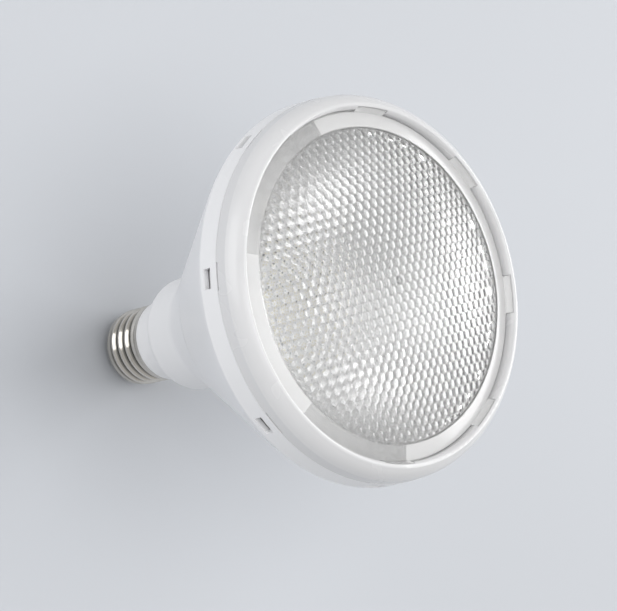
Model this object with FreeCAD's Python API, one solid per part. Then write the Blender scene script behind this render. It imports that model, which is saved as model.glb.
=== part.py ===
import FreeCAD, Part

import math
import os

V = FreeCAD.Vector

# Reflector lamp with a screw cap. Millimetres. The lamp's axis is Z, with the tip of
# the centre contact at the origin and the domed lens on top.

# Clearances
SLIP_GAP = 0.1
SEAM_GAP = 0.25
SEAT_GAP = 0.05

# How far a cutting shape stands out of the part it cuts
CUT_ROOM = 1.0

# Screw cap: right-handed rolled thread with 7 turns to the inch
THREAD_PITCH = 3.629
THREAD_CREST_R = 13.15
THREAD_DEPTH = 1.0
THREAD_ROOT_R = THREAD_CREST_R - THREAD_DEPTH
THREAD_START = 13.35
THREAD_FADE = 1.8
SHELL_WALL = 0.3
SHELL_LIP_Z = 3.6
SHELL_LIP_ROLL = 1.6
SHELL_LIP_WIDTH = 2.75
SHELL_LIP_R = THREAD_ROOT_R - SHELL_LIP_WIDTH
SHELL_RIM_BAND = 1.4
SHELL_RIM_FLARE = 0.15
SHELL_RIM_R = THREAD_CREST_R + SHELL_RIM_FLARE
CAP_HEIGHT = 22.3

# Centre contact and its insulator
CONTACT_FLAT_R = 2.2
CONTACT_EDGE = 2.4
CONTACT_R = CONTACT_FLAT_R + CONTACT_EDGE
CONTACT_DOME = 0.7
CONTACT_RIM = 0.35
CONTACT_BULGE = 0.3
CONTACT_BULGE_RATIO = 0.28
CONTACT_STEM_R = 1.15
CONTACT_STEM_TOP = 7.4
INSULATOR_EDGE = 1.1
INSULATOR_FACE_R = CONTACT_R + INSULATOR_EDGE
INSULATOR_FLANGE = 1.3
INSULATOR_SET_IN = 0.2
INSULATOR_BOSS = 0.6

# Rear housing: spigot, collar, shoulder, neck and flared skirt
REAR_WALL = 2.0
SPIGOT_RISE = 5.4
SPIGOT_START = SHELL_LIP_Z + SPIGOT_RISE
SPIGOT_WALL = 1.5
SPIGOT_STEP = 2.0
COLLAR_LEDGE = 0.35
COLLAR_R = THREAD_CREST_R + COLLAR_LEDGE
COLLAR_FLARE = 0.4
COLLAR_TOP_R = COLLAR_R + COLLAR_FLARE
COLLAR_HEIGHT = 7.1
COLLAR_TOP = CAP_HEIGHT + COLLAR_HEIGHT
SHOULDER_WIDTH = 5.0
SHOULDER_HEIGHT = 7.6
SHOULDER_TOP = COLLAR_TOP + SHOULDER_HEIGHT
NECK_R = COLLAR_TOP_R + SHOULDER_WIDTH
NECK_FLARE = 0.866
NECK_HEIGHT = 12.56
NECK_TOP_R = NECK_R + NECK_FLARE
NECK_TOP = SHOULDER_TOP + NECK_HEIGHT
NECK_FILLET = 2.2
LAP_HEIGHT = 2.4
LAP_WALL = 1.0

# Rim of the front housing, which sets the lamp's diameter
FRONT_WALL = 2.0
RIM_R = 60.9
RIM_TAPER = 0.25
RIM_TOP_R = RIM_R - RIM_TAPER
RIM_WALL = 1.9
RIM_DRAFT = 0.15

# Cone that both housings share, from the neck to the rim, and the seam across it
RIM_FLARE = 1.8
CONE_RIM_R = RIM_R - RIM_FLARE
SKIRT_HEIGHT = 21.44
CONE_HEIGHT = 42.0
SEAM_Z = NECK_TOP + SKIRT_HEIGHT
CONE_RIM_Z = SEAM_Z + CONE_HEIGHT
CONE_SLOPE = (CONE_RIM_R - NECK_TOP_R) / (CONE_RIM_Z - NECK_TOP)

# Heights of the rim, and the upstand that carries the reflector and the gasket
RIM_FILLET = 3.6
RIM_HEIGHT = 7.0
RIM_START = CONE_RIM_Z + RIM_FILLET
PARTING_Z = RIM_START + RIM_HEIGHT
CHANNEL_WIDTH = 2.3
CHANNEL_DROP = 2.4
CHANNEL_CHAMFER = (0.8, 0.9)
UPSTAND_R = RIM_R - RIM_WALL - CHANNEL_WIDTH
UPSTAND_WALL = 1.8
UPSTAND_SET_IN = 0.8
UPSTAND_TOP = PARTING_Z - UPSTAND_SET_IN
UPSTAND_FOOT = 5.0
UPSTAND_START = CONE_RIM_Z - UPSTAND_FOOT
UPSTAND_RISE = 3.0

# Clips that hold the bezel
CLIP_COUNT = 8
CLIP_START_ANGLE = 42.0
TAB_WIDTH = 7.4
TAB_WALL = 1.35
TAB_LENGTH = 7.0
TAB_END = PARTING_Z - TAB_LENGTH
TAB_TIP_TAPER = 0.5
TAB_NECK = 0.4
TAB_NECK_SET_IN = 0.2
TAB_ROOT_HEIGHT = 1.6
TAB_ROOT_OVERLAP = 0.6
HOOK_WIDTH = 5.6
HOOK_RISE = 1.4
HOOK_ROOT = 0.3
HOOK_LIP = 0.5
HOOK_FOOT_GAP = 0.2
WINDOW_WIDTH = 6.2
WINDOW_DROP = 5.6
WINDOW_BOTTOM = PARTING_Z - WINDOW_DROP
WINDOW_HEIGHT = 3.0
RELIEF_WIDTH = 8.4
RELIEF_HEIGHT = 0.55
RELIEF_DEPTH = 1.3

# Lens
LENS_SEAT = 4.0
LENS_STEP_Z = PARTING_Z + LENS_SEAT
LENS_RING_HEIGHT = 1.4
LENS_RING_Z = LENS_STEP_Z + LENS_RING_HEIGHT
LENS_FIELD_RISE = 0.9
LENS_FIELD_Z = LENS_RING_Z + LENS_FIELD_RISE
LENS_DOME_RISE = 7.2
LENS_TOP = LENS_FIELD_Z + LENS_DOME_RISE
LENS_WALL = 2.2
LENS_FLANGE_WALL = 1.6
LENS_EDGE_CHAMFER = 0.3
LENS_FLANGE_REACH = 2.0
LENS_DOME_MARGIN = 0.6

# Bezel ring, and the radii of the lens inside it
BEZEL_SET_IN = 0.05
BEZEL_WALL = 2.4
BEZEL_TAPER = 0.45
BEZEL_SHOULDER_R = RIM_TOP_R - BEZEL_TAPER
BEZEL_SIDE = 3.6
BEZEL_SHOULDER_Z = PARTING_Z + BEZEL_SIDE
BEZEL_SLOPE_WIDTH = 4.0
BEZEL_CREST_R = BEZEL_SHOULDER_R - BEZEL_SLOPE_WIDTH
BEZEL_LIP_WIDTH = 1.4
BEZEL_INNER_R = BEZEL_CREST_R - BEZEL_LIP_WIDTH
BEZEL_INNER_RISE = 1.3
BEZEL_INNER_TOP = LENS_RING_Z + BEZEL_INNER_RISE
BEZEL_CREST_RISE = 1.55
BEZEL_CREST_Z = BEZEL_INNER_TOP + BEZEL_CREST_RISE
BEZEL_CREST_ANGLE = 32.0
BEZEL_NOSE = 0.55
LENS_RING_GAP = 0.35
LENS_RING_R = BEZEL_INNER_R - LENS_RING_GAP
LENS_FLANGE_OVERLAP = 0.8
LENS_FLANGE_R = UPSTAND_R + LENS_FLANGE_OVERLAP
LENS_RING_WIDTH = 5.85
LENS_FIELD_R = LENS_RING_R - LENS_RING_WIDTH
BEAD_GAP = 0.3
BEAD_START = LENS_FIELD_R + BEAD_GAP
BEAD_WIDTH = 0.6
BEAD_HEIGHT = 0.3
BEAD_DRAFT = 0.15
BEAD_FOOT = 0.1
LUG_ROOT = 0.6
LUG_DEPTH = 0.4
LUG_REACH = 0.9
LUG_RISE = 2.0
LUG_ANGLE = 12.4
NOTCH_ANGLE = 13.0

# Hexagonal cells of the lens
CELL_PITCH = 3.15
CELL_ANGLE = 11.0
CELL_RISE = 0.7
CELL_SHIFT = (0.65, 0.34)
CELL_EDGE_MARGIN = 0.25

# Heat sink cup
SINK_DEPTH = 8.5
SINK_FLOOR_Z = SEAM_Z + SINK_DEPTH
SINK_FLOOR = 2.0
SINK_WALL = 1.5
SINK_RIM_DROP = 7.0
SINK_TOP = CONE_RIM_Z - SINK_RIM_DROP
SINK_BEND = 1.2

# Light board, and what stands on it at a share of its radius
BOARD_R = 28.4
BOARD_WALL = 1.6
PAD_WALL = 0.3
PAD_SET_IN = 1.0
PAD_HOLE_ROOM = 0.4
HEAD_ROOM = 0.3
BOARD_SCREW_START_ANGLE = 90.0
BOARD_SCREW_SHARE_RATIO = 0.74
BOARD_SCREW_R = BOARD_R * BOARD_SCREW_SHARE_RATIO
BOARD_SCREW_LENGTH = 3.4
LEAD_HOLE_R = 2.6
LEAD_HOLE_ANGLE = 60.0
LEAD_HOLE_SHARE_RATIO = 0.6
LEAD_HOLE_PLACE = BOARD_R * LEAD_HOLE_SHARE_RATIO
PACKAGE_SIZE = 3.5
PACKAGE_HEIGHT = 0.7
PACKAGE_CHAMFER = 0.2
INNER_PACKAGE_COUNT = 3
INNER_PACKAGE_SHARE_RATIO = 0.162
OUTER_PACKAGE_COUNT = 9
OUTER_PACKAGE_SHARE_RATIO = 0.405
CONNECTOR_SIZE = (7.0, 5.0, 3.2)
CONNECTOR_SHIFT = 4.6
MOUTH_SIZE = (2.2, 2.0)
MOUTH_Z = 0.6
MOUTH_WALL = 1.0

# Posts of the rear housing and their screws
POST_COUNT = 3
POST_START_ANGLE = 30.0
POST_SHARE_RATIO = 0.775
POST_CIRCLE_R = BOARD_R * POST_SHARE_RATIO
POST_R = 3.2
POST_DROP = 11.4
POST_FOOT = SEAM_Z - POST_DROP
POST_RIB = 2.0
POST_HOLE_ROOM = 1.0
RIB_OVERLAP = 0.4
SCREW_R = 1.45
SCREW_HEAD_R = 2.7
SCREW_HEAD = 1.5
SCREW_LENGTH = 9.0
SCREW_SLOT = 0.8

# Gasket, and the reflector between the light board and the upstand
GASKET_SET_IN = 0.5
GASKET_R = UPSTAND_R - GASKET_SET_IN
GASKET_WIDTH = 1.7
GASKET_BULGE = 0.25
REFLECTOR_WALL = 1.2
REFLECTOR_BOARD_LAP = 1.52
REFLECTOR_MOUTH_R = BOARD_R - REFLECTOR_BOARD_LAP
REFLECTOR_FOOT = 0.8
REFLECTOR_RIM_REACH = 4.2
REFLECTOR_RIM_R = LENS_FIELD_R + REFLECTOR_RIM_REACH
REFLECTOR_RIM_DROP = 1.0
REFLECTOR_LIP = (0.3, 1.8)
REFLECTOR_LAP = 0.2
REFLECTOR_FLANGE_R = UPSTAND_R + REFLECTOR_LAP
REFLECTOR_BACK_RATIO = 0.45
REFLECTOR_STATION_COUNT = 6

# Driver board in the rails of the neck
DRIVER_WALL = 1.6
DRIVER_RISE = 4.0
DRIVER_FOOT = SPIGOT_START + DRIVER_RISE
DRIVER_FOOT_ROOM = 1.55
DRIVER_STEP_RISE = 1.5
DRIVER_STEP = SHOULDER_TOP + DRIVER_STEP_RISE
DRIVER_EDGE_ROOM = 1.4
DRIVER_WIDTH = 2.0 * (NECK_R - REAR_WALL - DRIVER_EDGE_ROOM)
DRIVER_DROP = 7.0
DRIVER_TOP = SEAM_Z - DRIVER_DROP
RAIL_WALL = 1.3
RAIL_DEPTH = 3.2
RAIL_DROP = 4.0
RAIL_TOP = DRIVER_TOP - RAIL_DROP

# Driver components, placed from the collar or from the step of the driver board
CORE_SIZE = (16.0, 11.0, 14.0)
CORE_RISE = 3.5
CORE_Z = DRIVER_STEP + CORE_RISE
WINDING_R = 5.9
CORE_LEG = 2.6
BULK_R = 5.0
BULK_LENGTH = 15.0
BULK_RISE = 3.0
BULK_Z = DRIVER_STEP + BULK_RISE
BULK_X = -5.6
OUTPUT_R = 4.0
OUTPUT_LENGTH = 11.0
OUTPUT_RISE = 7.5
OUTPUT_Z = DRIVER_STEP + OUTPUT_RISE
OUTPUT_X = 6.4
CAN_EDGE = 0.4
CAN_GROOVE_WIDTH = 0.5
CAN_GROOVE_PLACE_RATIO = 0.16
CAN_GROOVE_DEPTH_RATIO = 0.06
FILM_SIZE = (10.0, 5.0, 9.0)
FILM_DROP = 5.4
FILM_Z = COLLAR_TOP - FILM_DROP
BRIDGE_SIZE = (5.0, 2.5, 4.6)
BRIDGE_DROP = 7.0
BRIDGE_Z = FILM_Z - BRIDGE_DROP
CHIP_SIZE = (6.0, 1.6, 5.0)
CHIP_RISE = 4.6
CHIP_Z = COLLAR_TOP + CHIP_RISE
VARISTOR_R = 4.2
VARISTOR_WALL = 3.4
VARISTOR_RISE = 3.0
VARISTOR_ROUND = 0.9
FUSE_R = 1.6
FUSE_LENGTH = 8.0
END_ROUND = 0.5

# Insulated leads
LEAD_R = 0.7
LEAD_BEND = 3.0
LEAD_RUN = 1.6
LIVE_X = 2.4
NEUTRAL_X = (-6.0, -5.0)
OUTPUT_LEAD_X = 4.0
OUTPUT_LEAD_RISE = 3.0
OUTPUT_LEAD_DROP = 4.0
LEAD_SPREAD = 1.0


def cone_r(z):
    """Outer radius of the cone at height z."""
    return CONE_RIM_R - CONE_SLOPE * (CONE_RIM_Z - z)


def cone_inset(wall):
    """How far a wall of that thickness moves the cone's radius inwards."""
    return wall * math.sqrt(1.0 + CONE_SLOPE ** 2)


def polar(radius, angle, z=0.0):
    a = math.radians(angle)
    return V(radius * math.cos(a), radius * math.sin(a), z)


def turned(start, steps):
    """Solid of revolution. A step is an end point, or a middle and an end point for an arc."""
    edges = []
    here = V(start[0], 0, start[1])
    first = here
    for step in steps:
        end = V(step[-2], 0, step[-1])
        if len(step) == 4:
            edges.append(Part.Arc(here, V(step[0], 0, step[1]), end).toShape())
        else:
            edges.append(Part.LineSegment(here, end).toShape())
        here = end
    if here.distanceToPoint(first) > 1e-6:
        edges.append(Part.LineSegment(here, first).toShape())
    face = Part.Face(Part.Wire(edges))
    return face.revolve(V(0, 0, 0), V(0, 0, 1), 360)


def arc_mid(start, tangent, end):
    """Middle of the arc that leaves start along tangent and ends at end, in the r-z plane."""
    s = V(start[0], start[1], 0)
    e = V(end[0], end[1], 0)
    t = V(tangent[0], tangent[1], 0).normalize()
    normal = V(-t.y, t.x, 0)
    chord = e - s
    radius = chord.dot(chord) / (2.0 * chord.dot(normal))
    centre = s + normal * radius
    halfway = (s + e) * 0.5 - centre
    mid = centre + halfway.normalize() * abs(radius)
    return (mid.x, mid.y)


def block(size, centre):
    """Box of the given size with the middle of its underside at centre."""
    corner = V(centre[0] - size[0] / 2.0, centre[1] - size[1] / 2.0, centre[2])
    return Part.makeBox(size[0], size[1], size[2], corner)


def ring_face(outer_wire, inner_wire):
    """Flat face between two closed outlines."""
    return Part.makeFace([outer_wire, inner_wire], "Part::FaceMakerBullseye").Faces[0]


def turn(shape, angle):
    copy = shape.copy()
    copy.rotate(V(0, 0, 0), V(0, 0, 1), angle)
    return copy


def clip_angles():
    return [CLIP_START_ANGLE + i * 360.0 / CLIP_COUNT for i in range(CLIP_COUNT)]


def post_angles():
    return [POST_START_ANGLE + i * 360.0 / POST_COUNT for i in range(POST_COUNT)]


def radial_block(r_in, r_out, width, bottom, top, angle):
    box = Part.makeBox(r_out - r_in, width, top - bottom, V(r_in, -width / 2.0, bottom))
    return turn(box, angle)


def sector(r_in, r_out, angle_width, bottom, top, angle):
    """Piece of a ring, centred on angle."""
    ring = Part.makeCylinder(r_out, top - bottom, V(0, 0, bottom), V(0, 0, 1), angle_width)
    ring = ring.cut(Part.makeCylinder(r_in, top - bottom, V(0, 0, bottom)))
    return turn(ring, angle - angle_width / 2.0)


def screw(length):
    """Slotted pan-head screw with its head's underside at z 0, pointing down."""
    head = Part.makeCylinder(SCREW_HEAD_R, SCREW_HEAD)
    head = head.makeFillet(SCREW_HEAD * 0.4, [head.Edges[0]])
    slot_size = (2.2 * SCREW_HEAD_R, SCREW_SLOT, SCREW_HEAD)
    head = head.cut(block(slot_size, (0, 0, SCREW_HEAD / 2.0)))
    shank = Part.makeCylinder(SCREW_R, length, V(0, 0, -length))
    return head.fuse(shank).removeSplitter()


def lead(points):
    """Insulated wire along points, with tangent arcs at the corners."""
    pts = [V(*p) for p in points]
    edges = []
    here = pts[0]
    for i in range(1, len(pts) - 1):
        into = (pts[i] - pts[i - 1]).normalize()
        out = (pts[i + 1] - pts[i]).normalize()
        half = math.acos(max(-1.0, min(1.0, into.dot(out)))) / 2.0
        shorter = min((pts[i] - pts[i - 1]).Length, (pts[i + 1] - pts[i]).Length)
        cut = min(LEAD_BEND * math.tan(half), 0.45 * shorter)
        a = pts[i] - into * cut
        b = pts[i] + out * cut
        radius = cut / math.tan(half)
        inward = (out - into).normalize()
        mid = pts[i] + inward * (radius / math.cos(half) - radius)
        edges.append(Part.LineSegment(here, a).toShape())
        edges.append(Part.Arc(a, mid, b).toShape())
        here = b
    edges.append(Part.LineSegment(here, pts[-1]).toShape())
    path = Part.Wire(edges)
    start_dir = pts[1] - pts[0]
    section = Part.Wire([Part.Circle(pts[0], start_dir, LEAD_R).toShape()])
    return path.makePipeShell([section], True, True)


# Screw shell

def thread_rows(offset):
    """Rows of the shell's skin, from the lip to the rim, as radius, height and thread depth."""
    mean = (THREAD_CREST_R + THREAD_ROOT_R) / 2.0
    depth = (THREAD_CREST_R - THREAD_ROOT_R) / 2.0
    roll_r = mean - SHELL_LIP_ROLL
    roll_z = SHELL_LIP_Z + SHELL_LIP_ROLL
    rows = []
    flat_steps = 3
    for i in range(flat_steps):
        r = SHELL_LIP_R + (roll_r - SHELL_LIP_R) * i / flat_steps
        rows.append((r, SHELL_LIP_Z + offset, 0.0))
    roll_steps = 5
    for i in range(roll_steps + 1):
        a = math.pi / 2.0 * i / roll_steps
        rad = SHELL_LIP_ROLL - offset
        rows.append((roll_r + rad * math.sin(a), roll_z - rad * math.cos(a), 0.0))
    rim_start = CAP_HEIGHT - SHELL_RIM_BAND
    rows_per_turn = 9
    step = THREAD_PITCH / rows_per_turn
    count = int((CAP_HEIGHT - roll_z) / step)
    step = (CAP_HEIGHT - roll_z) / count
    for i in range(1, count + 1):
        z = roll_z + i * step
        rise = min(1.0, (z - roll_z) / THREAD_FADE)
        fall = min(1.0, max(0.0, (rim_start - z) / THREAD_FADE))
        fade = (0.5 - 0.5 * math.cos(math.pi * rise)) * (0.5 - 0.5 * math.cos(math.pi * fall))
        flare = 0.5 + 0.5 * math.cos(math.pi * fall)
        r = mean + (SHELL_RIM_R - mean) * flare - offset
        rows.append((r, z, depth * fade))
    return rows


def thread_skin(offset):
    """Closed skin of the shell: a periodic surface through rings of poles."""
    columns = 28
    swell = 3.0 / (2.0 + math.cos(2.0 * math.pi / columns))
    poles = []
    rows = thread_rows(offset)
    for c in range(columns):
        a = 2.0 * math.pi * c / columns
        line = []
        for (r, z, depth) in rows:
            turns = (z - THREAD_START) / THREAD_PITCH - c / float(columns)
            radius = (r + depth * math.cos(2.0 * math.pi * turns)) * swell
            line.append(V(radius * math.cos(a), radius * math.sin(a), z))
        poles.append(line)
    degree = 3
    u_knots = [float(i) for i in range(columns + 1)]
    u_mults = [1] * (columns + 1)
    spans = len(rows) - degree
    v_knots = [float(i) for i in range(spans + 1)]
    v_mults = [degree + 1] + [1] * (spans - 1) + [degree + 1]
    surface = Part.BSplineSurface()
    surface.buildFromPolesMultsKnots(poles, u_mults, v_mults, u_knots, v_knots,
                                     True, False, degree, degree)
    return surface.toShape()


def ring_edges(face, height):
    """The closed edge of a skin that lies at that height."""
    found = []
    for edge in face.Edges:
        box = edge.BoundBox
        if box.ZLength < 0.01 and abs(box.ZMin - height) < 0.01:
            found.append(edge)
    return found


def screw_shell():
    outer = thread_skin(0.0)
    inner = thread_skin(SHELL_WALL)
    top = ring_face(Part.Wire(ring_edges(outer, CAP_HEIGHT)),
                    Part.Wire(ring_edges(inner, CAP_HEIGHT)))
    low_outer = ring_edges(outer, SHELL_LIP_Z)[0]
    low_inner = ring_edges(inner, SHELL_LIP_Z + SHELL_WALL)[0]
    lip = Part.makeRuledSurface(low_outer, low_inner)
    shell = Part.Shell([outer, inner, top] + lip.Faces)
    shell.sewShape()
    body = Part.Solid(shell)
    if body.Volume < 0:
        body.reverse()
    return body


def shell_inner_root():
    return THREAD_ROOT_R - SHELL_WALL


def cap_insulator():
    lip_r = SHELL_LIP_R - SEAT_GAP
    floor = SHELL_LIP_Z + SHELL_WALL + SEAT_GAP
    face_z = CONTACT_DOME + CONTACT_RIM
    flange_r = (THREAD_CREST_R + THREAD_ROOT_R) / 2.0 - SHELL_LIP_ROLL - SEAT_GAP
    hole = CONTACT_STEM_R + SEAT_GAP
    steps = [(INSULATOR_FACE_R, face_z), (lip_r, SHELL_LIP_Z - INSULATOR_SET_IN), (lip_r, floor),
             (flange_r, floor), (flange_r, floor + INSULATOR_FLANGE),
             (hole, floor + INSULATOR_FLANGE + INSULATOR_BOSS)]
    return turned((hole, face_z), steps)


def centre_contact():
    rim_z = CONTACT_DOME
    face_z = CONTACT_DOME + CONTACT_RIM - SEAT_GAP
    mid_r = (CONTACT_FLAT_R + CONTACT_R) / 2.0
    bulge_r = mid_r + CONTACT_BULGE
    bulge_z = CONTACT_DOME * CONTACT_BULGE_RATIO
    steps = [(CONTACT_FLAT_R, 0.0), (bulge_r, bulge_z, CONTACT_R, rim_z),
             (CONTACT_R, face_z), (CONTACT_STEM_R, face_z),
             (CONTACT_STEM_R, CONTACT_STEM_TOP), (0.0, CONTACT_STEM_TOP)]
    return turned((0.0, 0.0), steps)


# Rear housing

def neck_slope():
    return (NECK_TOP_R - NECK_R) / (NECK_TOP - SHOULDER_TOP)


def rear_outline(inset, start_z, end_z):
    """Outer line of the collar, shoulder, neck and skirt, moved inwards by a wall."""
    mid_r = (COLLAR_TOP_R + NECK_R) / 2.0
    mid_z = (COLLAR_TOP + SHOULDER_TOP) / 2.0
    slope = neck_slope()
    below = (NECK_TOP_R - slope * NECK_FILLET - inset, NECK_TOP - NECK_FILLET)
    cone_in = cone_inset(inset) if inset > 0 else 0.0
    above_z = NECK_TOP + NECK_FILLET
    above = (cone_r(above_z) - cone_in, above_z)
    fillet = arc_mid(below, (slope, 1.0), above)
    first = (COLLAR_TOP_R - inset, COLLAR_TOP)
    low_mid = arc_mid(first, (0.0, 1.0), (mid_r - inset, mid_z))
    high_mid = arc_mid((NECK_R - inset, SHOULDER_TOP), (0.0, -1.0), (mid_r - inset, mid_z))
    steps = [first,
             low_mid + (mid_r - inset, mid_z),
             high_mid + (NECK_R - inset, SHOULDER_TOP),
             below,
             fillet + above,
             (cone_r(end_z) - cone_in, end_z)]
    return (COLLAR_R - inset, start_z), steps


def posts():
    """Screw posts with ribs to the skirt, kept inside the outer skin."""
    top = SINK_FLOOR_Z - SEAT_GAP
    solids = []
    for angle in post_angles():
        base = polar(POST_CIRCLE_R, angle, POST_FOOT)
        post = Part.makeCylinder(POST_R, top - POST_FOOT, base)
        reach = cone_r(SEAM_Z) - cone_inset(REAR_WALL) + RIB_OVERLAP
        rib = radial_block(POST_CIRCLE_R, reach, POST_RIB, POST_FOOT, SEAM_Z, angle)
        solids.append(post.fuse(rib))
    return solids


def rails():
    """Pairs of ribs that guide the edges of the driver board."""
    half_gap = DRIVER_WALL / 2.0 + SLIP_GAP
    solids = []
    for side in (0.0, 180.0):
        for sign in (1.0, -1.0):
            y = half_gap if sign > 0 else -half_gap - RAIL_WALL
            inner = DRIVER_WIDTH / 2.0 - RAIL_DEPTH
            box = Part.makeBox(NECK_R - inner, RAIL_WALL, RAIL_TOP - SHOULDER_TOP,
                               V(inner, y, SHOULDER_TOP))
            solids.append(turn(box, side))
    return solids


def spigot_bore_r():
    return shell_inner_root() - SLIP_GAP - SPIGOT_WALL


def rear_housing():
    start, steps = rear_outline(0.0, CAP_HEIGHT + SEAT_GAP, SEAM_Z)
    spigot_r = shell_inner_root() - SLIP_GAP
    bore_r = spigot_bore_r()
    lap_r = cone_r(SEAM_Z) - cone_inset(REAR_WALL)
    lap_out = lap_r + LAP_WALL
    lap_top = SEAM_Z + LAP_HEIGHT
    rise = CONE_SLOPE * LAP_HEIGHT
    outer = [(COLLAR_R, CAP_HEIGHT + SEAT_GAP)] + steps
    outer += [(lap_out, SEAM_Z), (lap_out + rise, lap_top), (lap_r + rise, lap_top)]
    inside, inner_steps = rear_outline(REAR_WALL, COLLAR_TOP - SPIGOT_STEP, SEAM_Z)
    line = [(lap_r, SEAM_Z)]
    here = inside
    reverse = []
    for step in inner_steps:
        reverse.append((here, step))
        here = (step[-2], step[-1])
    for (before, step) in reversed(reverse[1:]):
        line.append(tuple(step[:-2]) + tuple(before))
    line += [(bore_r, COLLAR_TOP - SPIGOT_STEP), (bore_r, SPIGOT_START)]
    body = turned((spigot_r, SPIGOT_START), [(spigot_r, CAP_HEIGHT + SEAT_GAP)] + outer + line)
    room = turned((0.0, CAP_HEIGHT), outer_envelope())
    extras = [part.common(room) for part in posts() + rails()]
    body = body.fuse(extras)
    for angle in post_angles():
        top = SINK_FLOOR_Z - SEAT_GAP
        depth = SCREW_LENGTH - SINK_FLOOR + POST_HOLE_ROOM
        hole = Part.makeCylinder(SCREW_R + SEAT_GAP, depth, polar(POST_CIRCLE_R, angle, top - depth))
        body = body.cut(hole)
    return body.removeSplitter()


def outer_envelope():
    """Steps of a filled outline halfway through the wall, used to trim inner ribs."""
    half = REAR_WALL / 2.0
    start, steps = rear_outline(half, CAP_HEIGHT, SEAM_Z)
    reach = cone_r(SEAM_Z) - cone_inset(half)
    return [start] + steps + [(reach, SINK_FLOOR_Z), (0.0, SINK_FLOOR_Z)]


# Front housing

def front_housing():
    inset = cone_inset(FRONT_WALL)
    seam = SEAM_Z + SEAM_GAP
    lap_r = cone_r(SEAM_Z) - cone_inset(REAR_WALL) + LAP_WALL + SLIP_GAP
    lap_top = SEAM_Z + LAP_HEIGHT + SLIP_GAP
    rim_fillet = (CONE_RIM_R, CONE_RIM_Z)
    rim_in = RIM_R - RIM_WALL
    channel_z = RIM_START - CHANNEL_DROP
    outer = [rim_fillet,
             arc_mid(rim_fillet, (CONE_SLOPE, 1.0), (RIM_R, RIM_START)) + (RIM_R, RIM_START),
             (RIM_TOP_R, PARTING_Z),
             (rim_in - RIM_DRAFT, PARTING_Z),
             (rim_in, channel_z + CHANNEL_CHAMFER[1])]
    up_in = UPSTAND_R - UPSTAND_WALL
    inner = [(rim_in - CHANNEL_CHAMFER[0], channel_z), (UPSTAND_R, channel_z),
             (UPSTAND_R, UPSTAND_TOP), (up_in, UPSTAND_TOP),
             (up_in, UPSTAND_START + UPSTAND_RISE),
             (cone_r(UPSTAND_START) - inset, UPSTAND_START),
             (cone_r(lap_top) - inset, lap_top),
             (lap_r + CONE_SLOPE * (lap_top - SEAM_Z), lap_top),
             (lap_r + CONE_SLOPE * SEAM_GAP, seam)]
    body = turned((cone_r(seam), seam), outer + inner)
    window_top = WINDOW_BOTTOM + WINDOW_HEIGHT
    for angle in clip_angles():
        body = body.cut(radial_block(rim_in - CUT_ROOM, RIM_R + CUT_ROOM, WINDOW_WIDTH,
                                     WINDOW_BOTTOM, window_top, angle))
    return body.removeSplitter()


# Bezel ring

def bezel_ring():
    under = LENS_STEP_Z + SEAT_GAP
    seat = PARTING_Z + SEAT_GAP
    side_r = RIM_TOP_R - BEZEL_SET_IN
    wall_in = side_r - BEZEL_WALL
    inner_top = (BEZEL_INNER_R, BEZEL_INNER_TOP)
    shoulder = (BEZEL_SHOULDER_R, BEZEL_SHOULDER_Z)
    fall = math.radians(BEZEL_CREST_ANGLE)
    nose_z = BEZEL_CREST_Z - BEZEL_NOSE * math.tan(fall / 2.0)
    nose_out = (BEZEL_CREST_R + BEZEL_NOSE, nose_z)
    nose_in = (BEZEL_CREST_R - BEZEL_NOSE, nose_z)
    big = arc_mid(nose_out, (math.cos(fall), -math.sin(fall)), shoulder)
    small = arc_mid(nose_in, (-math.cos(fall), -math.sin(fall)), inner_top)
    steps = [(side_r, seat), shoulder, big + nose_out,
             (BEZEL_CREST_R, BEZEL_CREST_Z) + nose_in, small + inner_top,
             (BEZEL_INNER_R, under), (wall_in, under)]
    body = turned((wall_in, seat), steps)
    notch_r = LENS_RING_R + LUG_REACH + SLIP_GAP
    rim_mouth = RIM_R - RIM_WALL - RIM_DRAFT - SLIP_GAP
    tab_out = math.sqrt(rim_mouth ** 2 - (TAB_WIDTH / 2.0) ** 2)
    for angle in clip_angles():
        body = body.cut(sector(BEZEL_INNER_R - CUT_ROOM, notch_r, NOTCH_ANGLE, under - CUT_ROOM,
                               BEZEL_CREST_Z + CUT_ROOM, angle))
        relief_in = side_r - RELIEF_DEPTH
        body = body.cut(radial_block(relief_in, side_r + CUT_ROOM, RELIEF_WIDTH, seat - CUT_ROOM,
                                     seat + RELIEF_HEIGHT, angle))
        body = body.fuse(clip_tab(tab_out, wall_in + TAB_ROOT_OVERLAP, angle))
    return body.removeSplitter()


def clip_tab(outer_r, root_r, angle):
    """Tab that runs down behind the rim, with a wedge that catches in the window."""
    top = PARTING_Z + TAB_ROOT_HEIGHT
    hook_bottom = WINDOW_BOTTOM + HOOK_FOOT_GAP
    hook_top = WINDOW_BOTTOM + WINDOW_HEIGHT - SLIP_GAP
    inner_r = outer_r - TAB_WALL
    neck_r = outer_r - TAB_NECK_SET_IN
    hook_r = outer_r - HOOK_ROOT
    tip_r = outer_r + HOOK_RISE
    corners = [(inner_r, TAB_END), (outer_r - TAB_TIP_TAPER, TAB_END), (outer_r, hook_bottom),
               (outer_r, PARTING_Z - TAB_NECK), (neck_r, PARTING_Z + TAB_NECK),
               (max(root_r, neck_r), top), (inner_r, top)]
    tab = slab(corners, TAB_WIDTH)
    hook = slab([(hook_r, hook_bottom), (tip_r, hook_top - HOOK_LIP), (tip_r, hook_top),
                 (hook_r, hook_top)], HOOK_WIDTH)
    return turn(tab.fuse(hook), angle)


def slab(corners, width):
    """Prism across Y with the given outline in the XZ plane."""
    pts = [V(r, -width / 2.0, z) for (r, z) in corners]
    face = Part.Face(Part.makePolygon(pts + [pts[0]]))
    return face.extrude(V(0, width, 0))


# Lens

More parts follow.
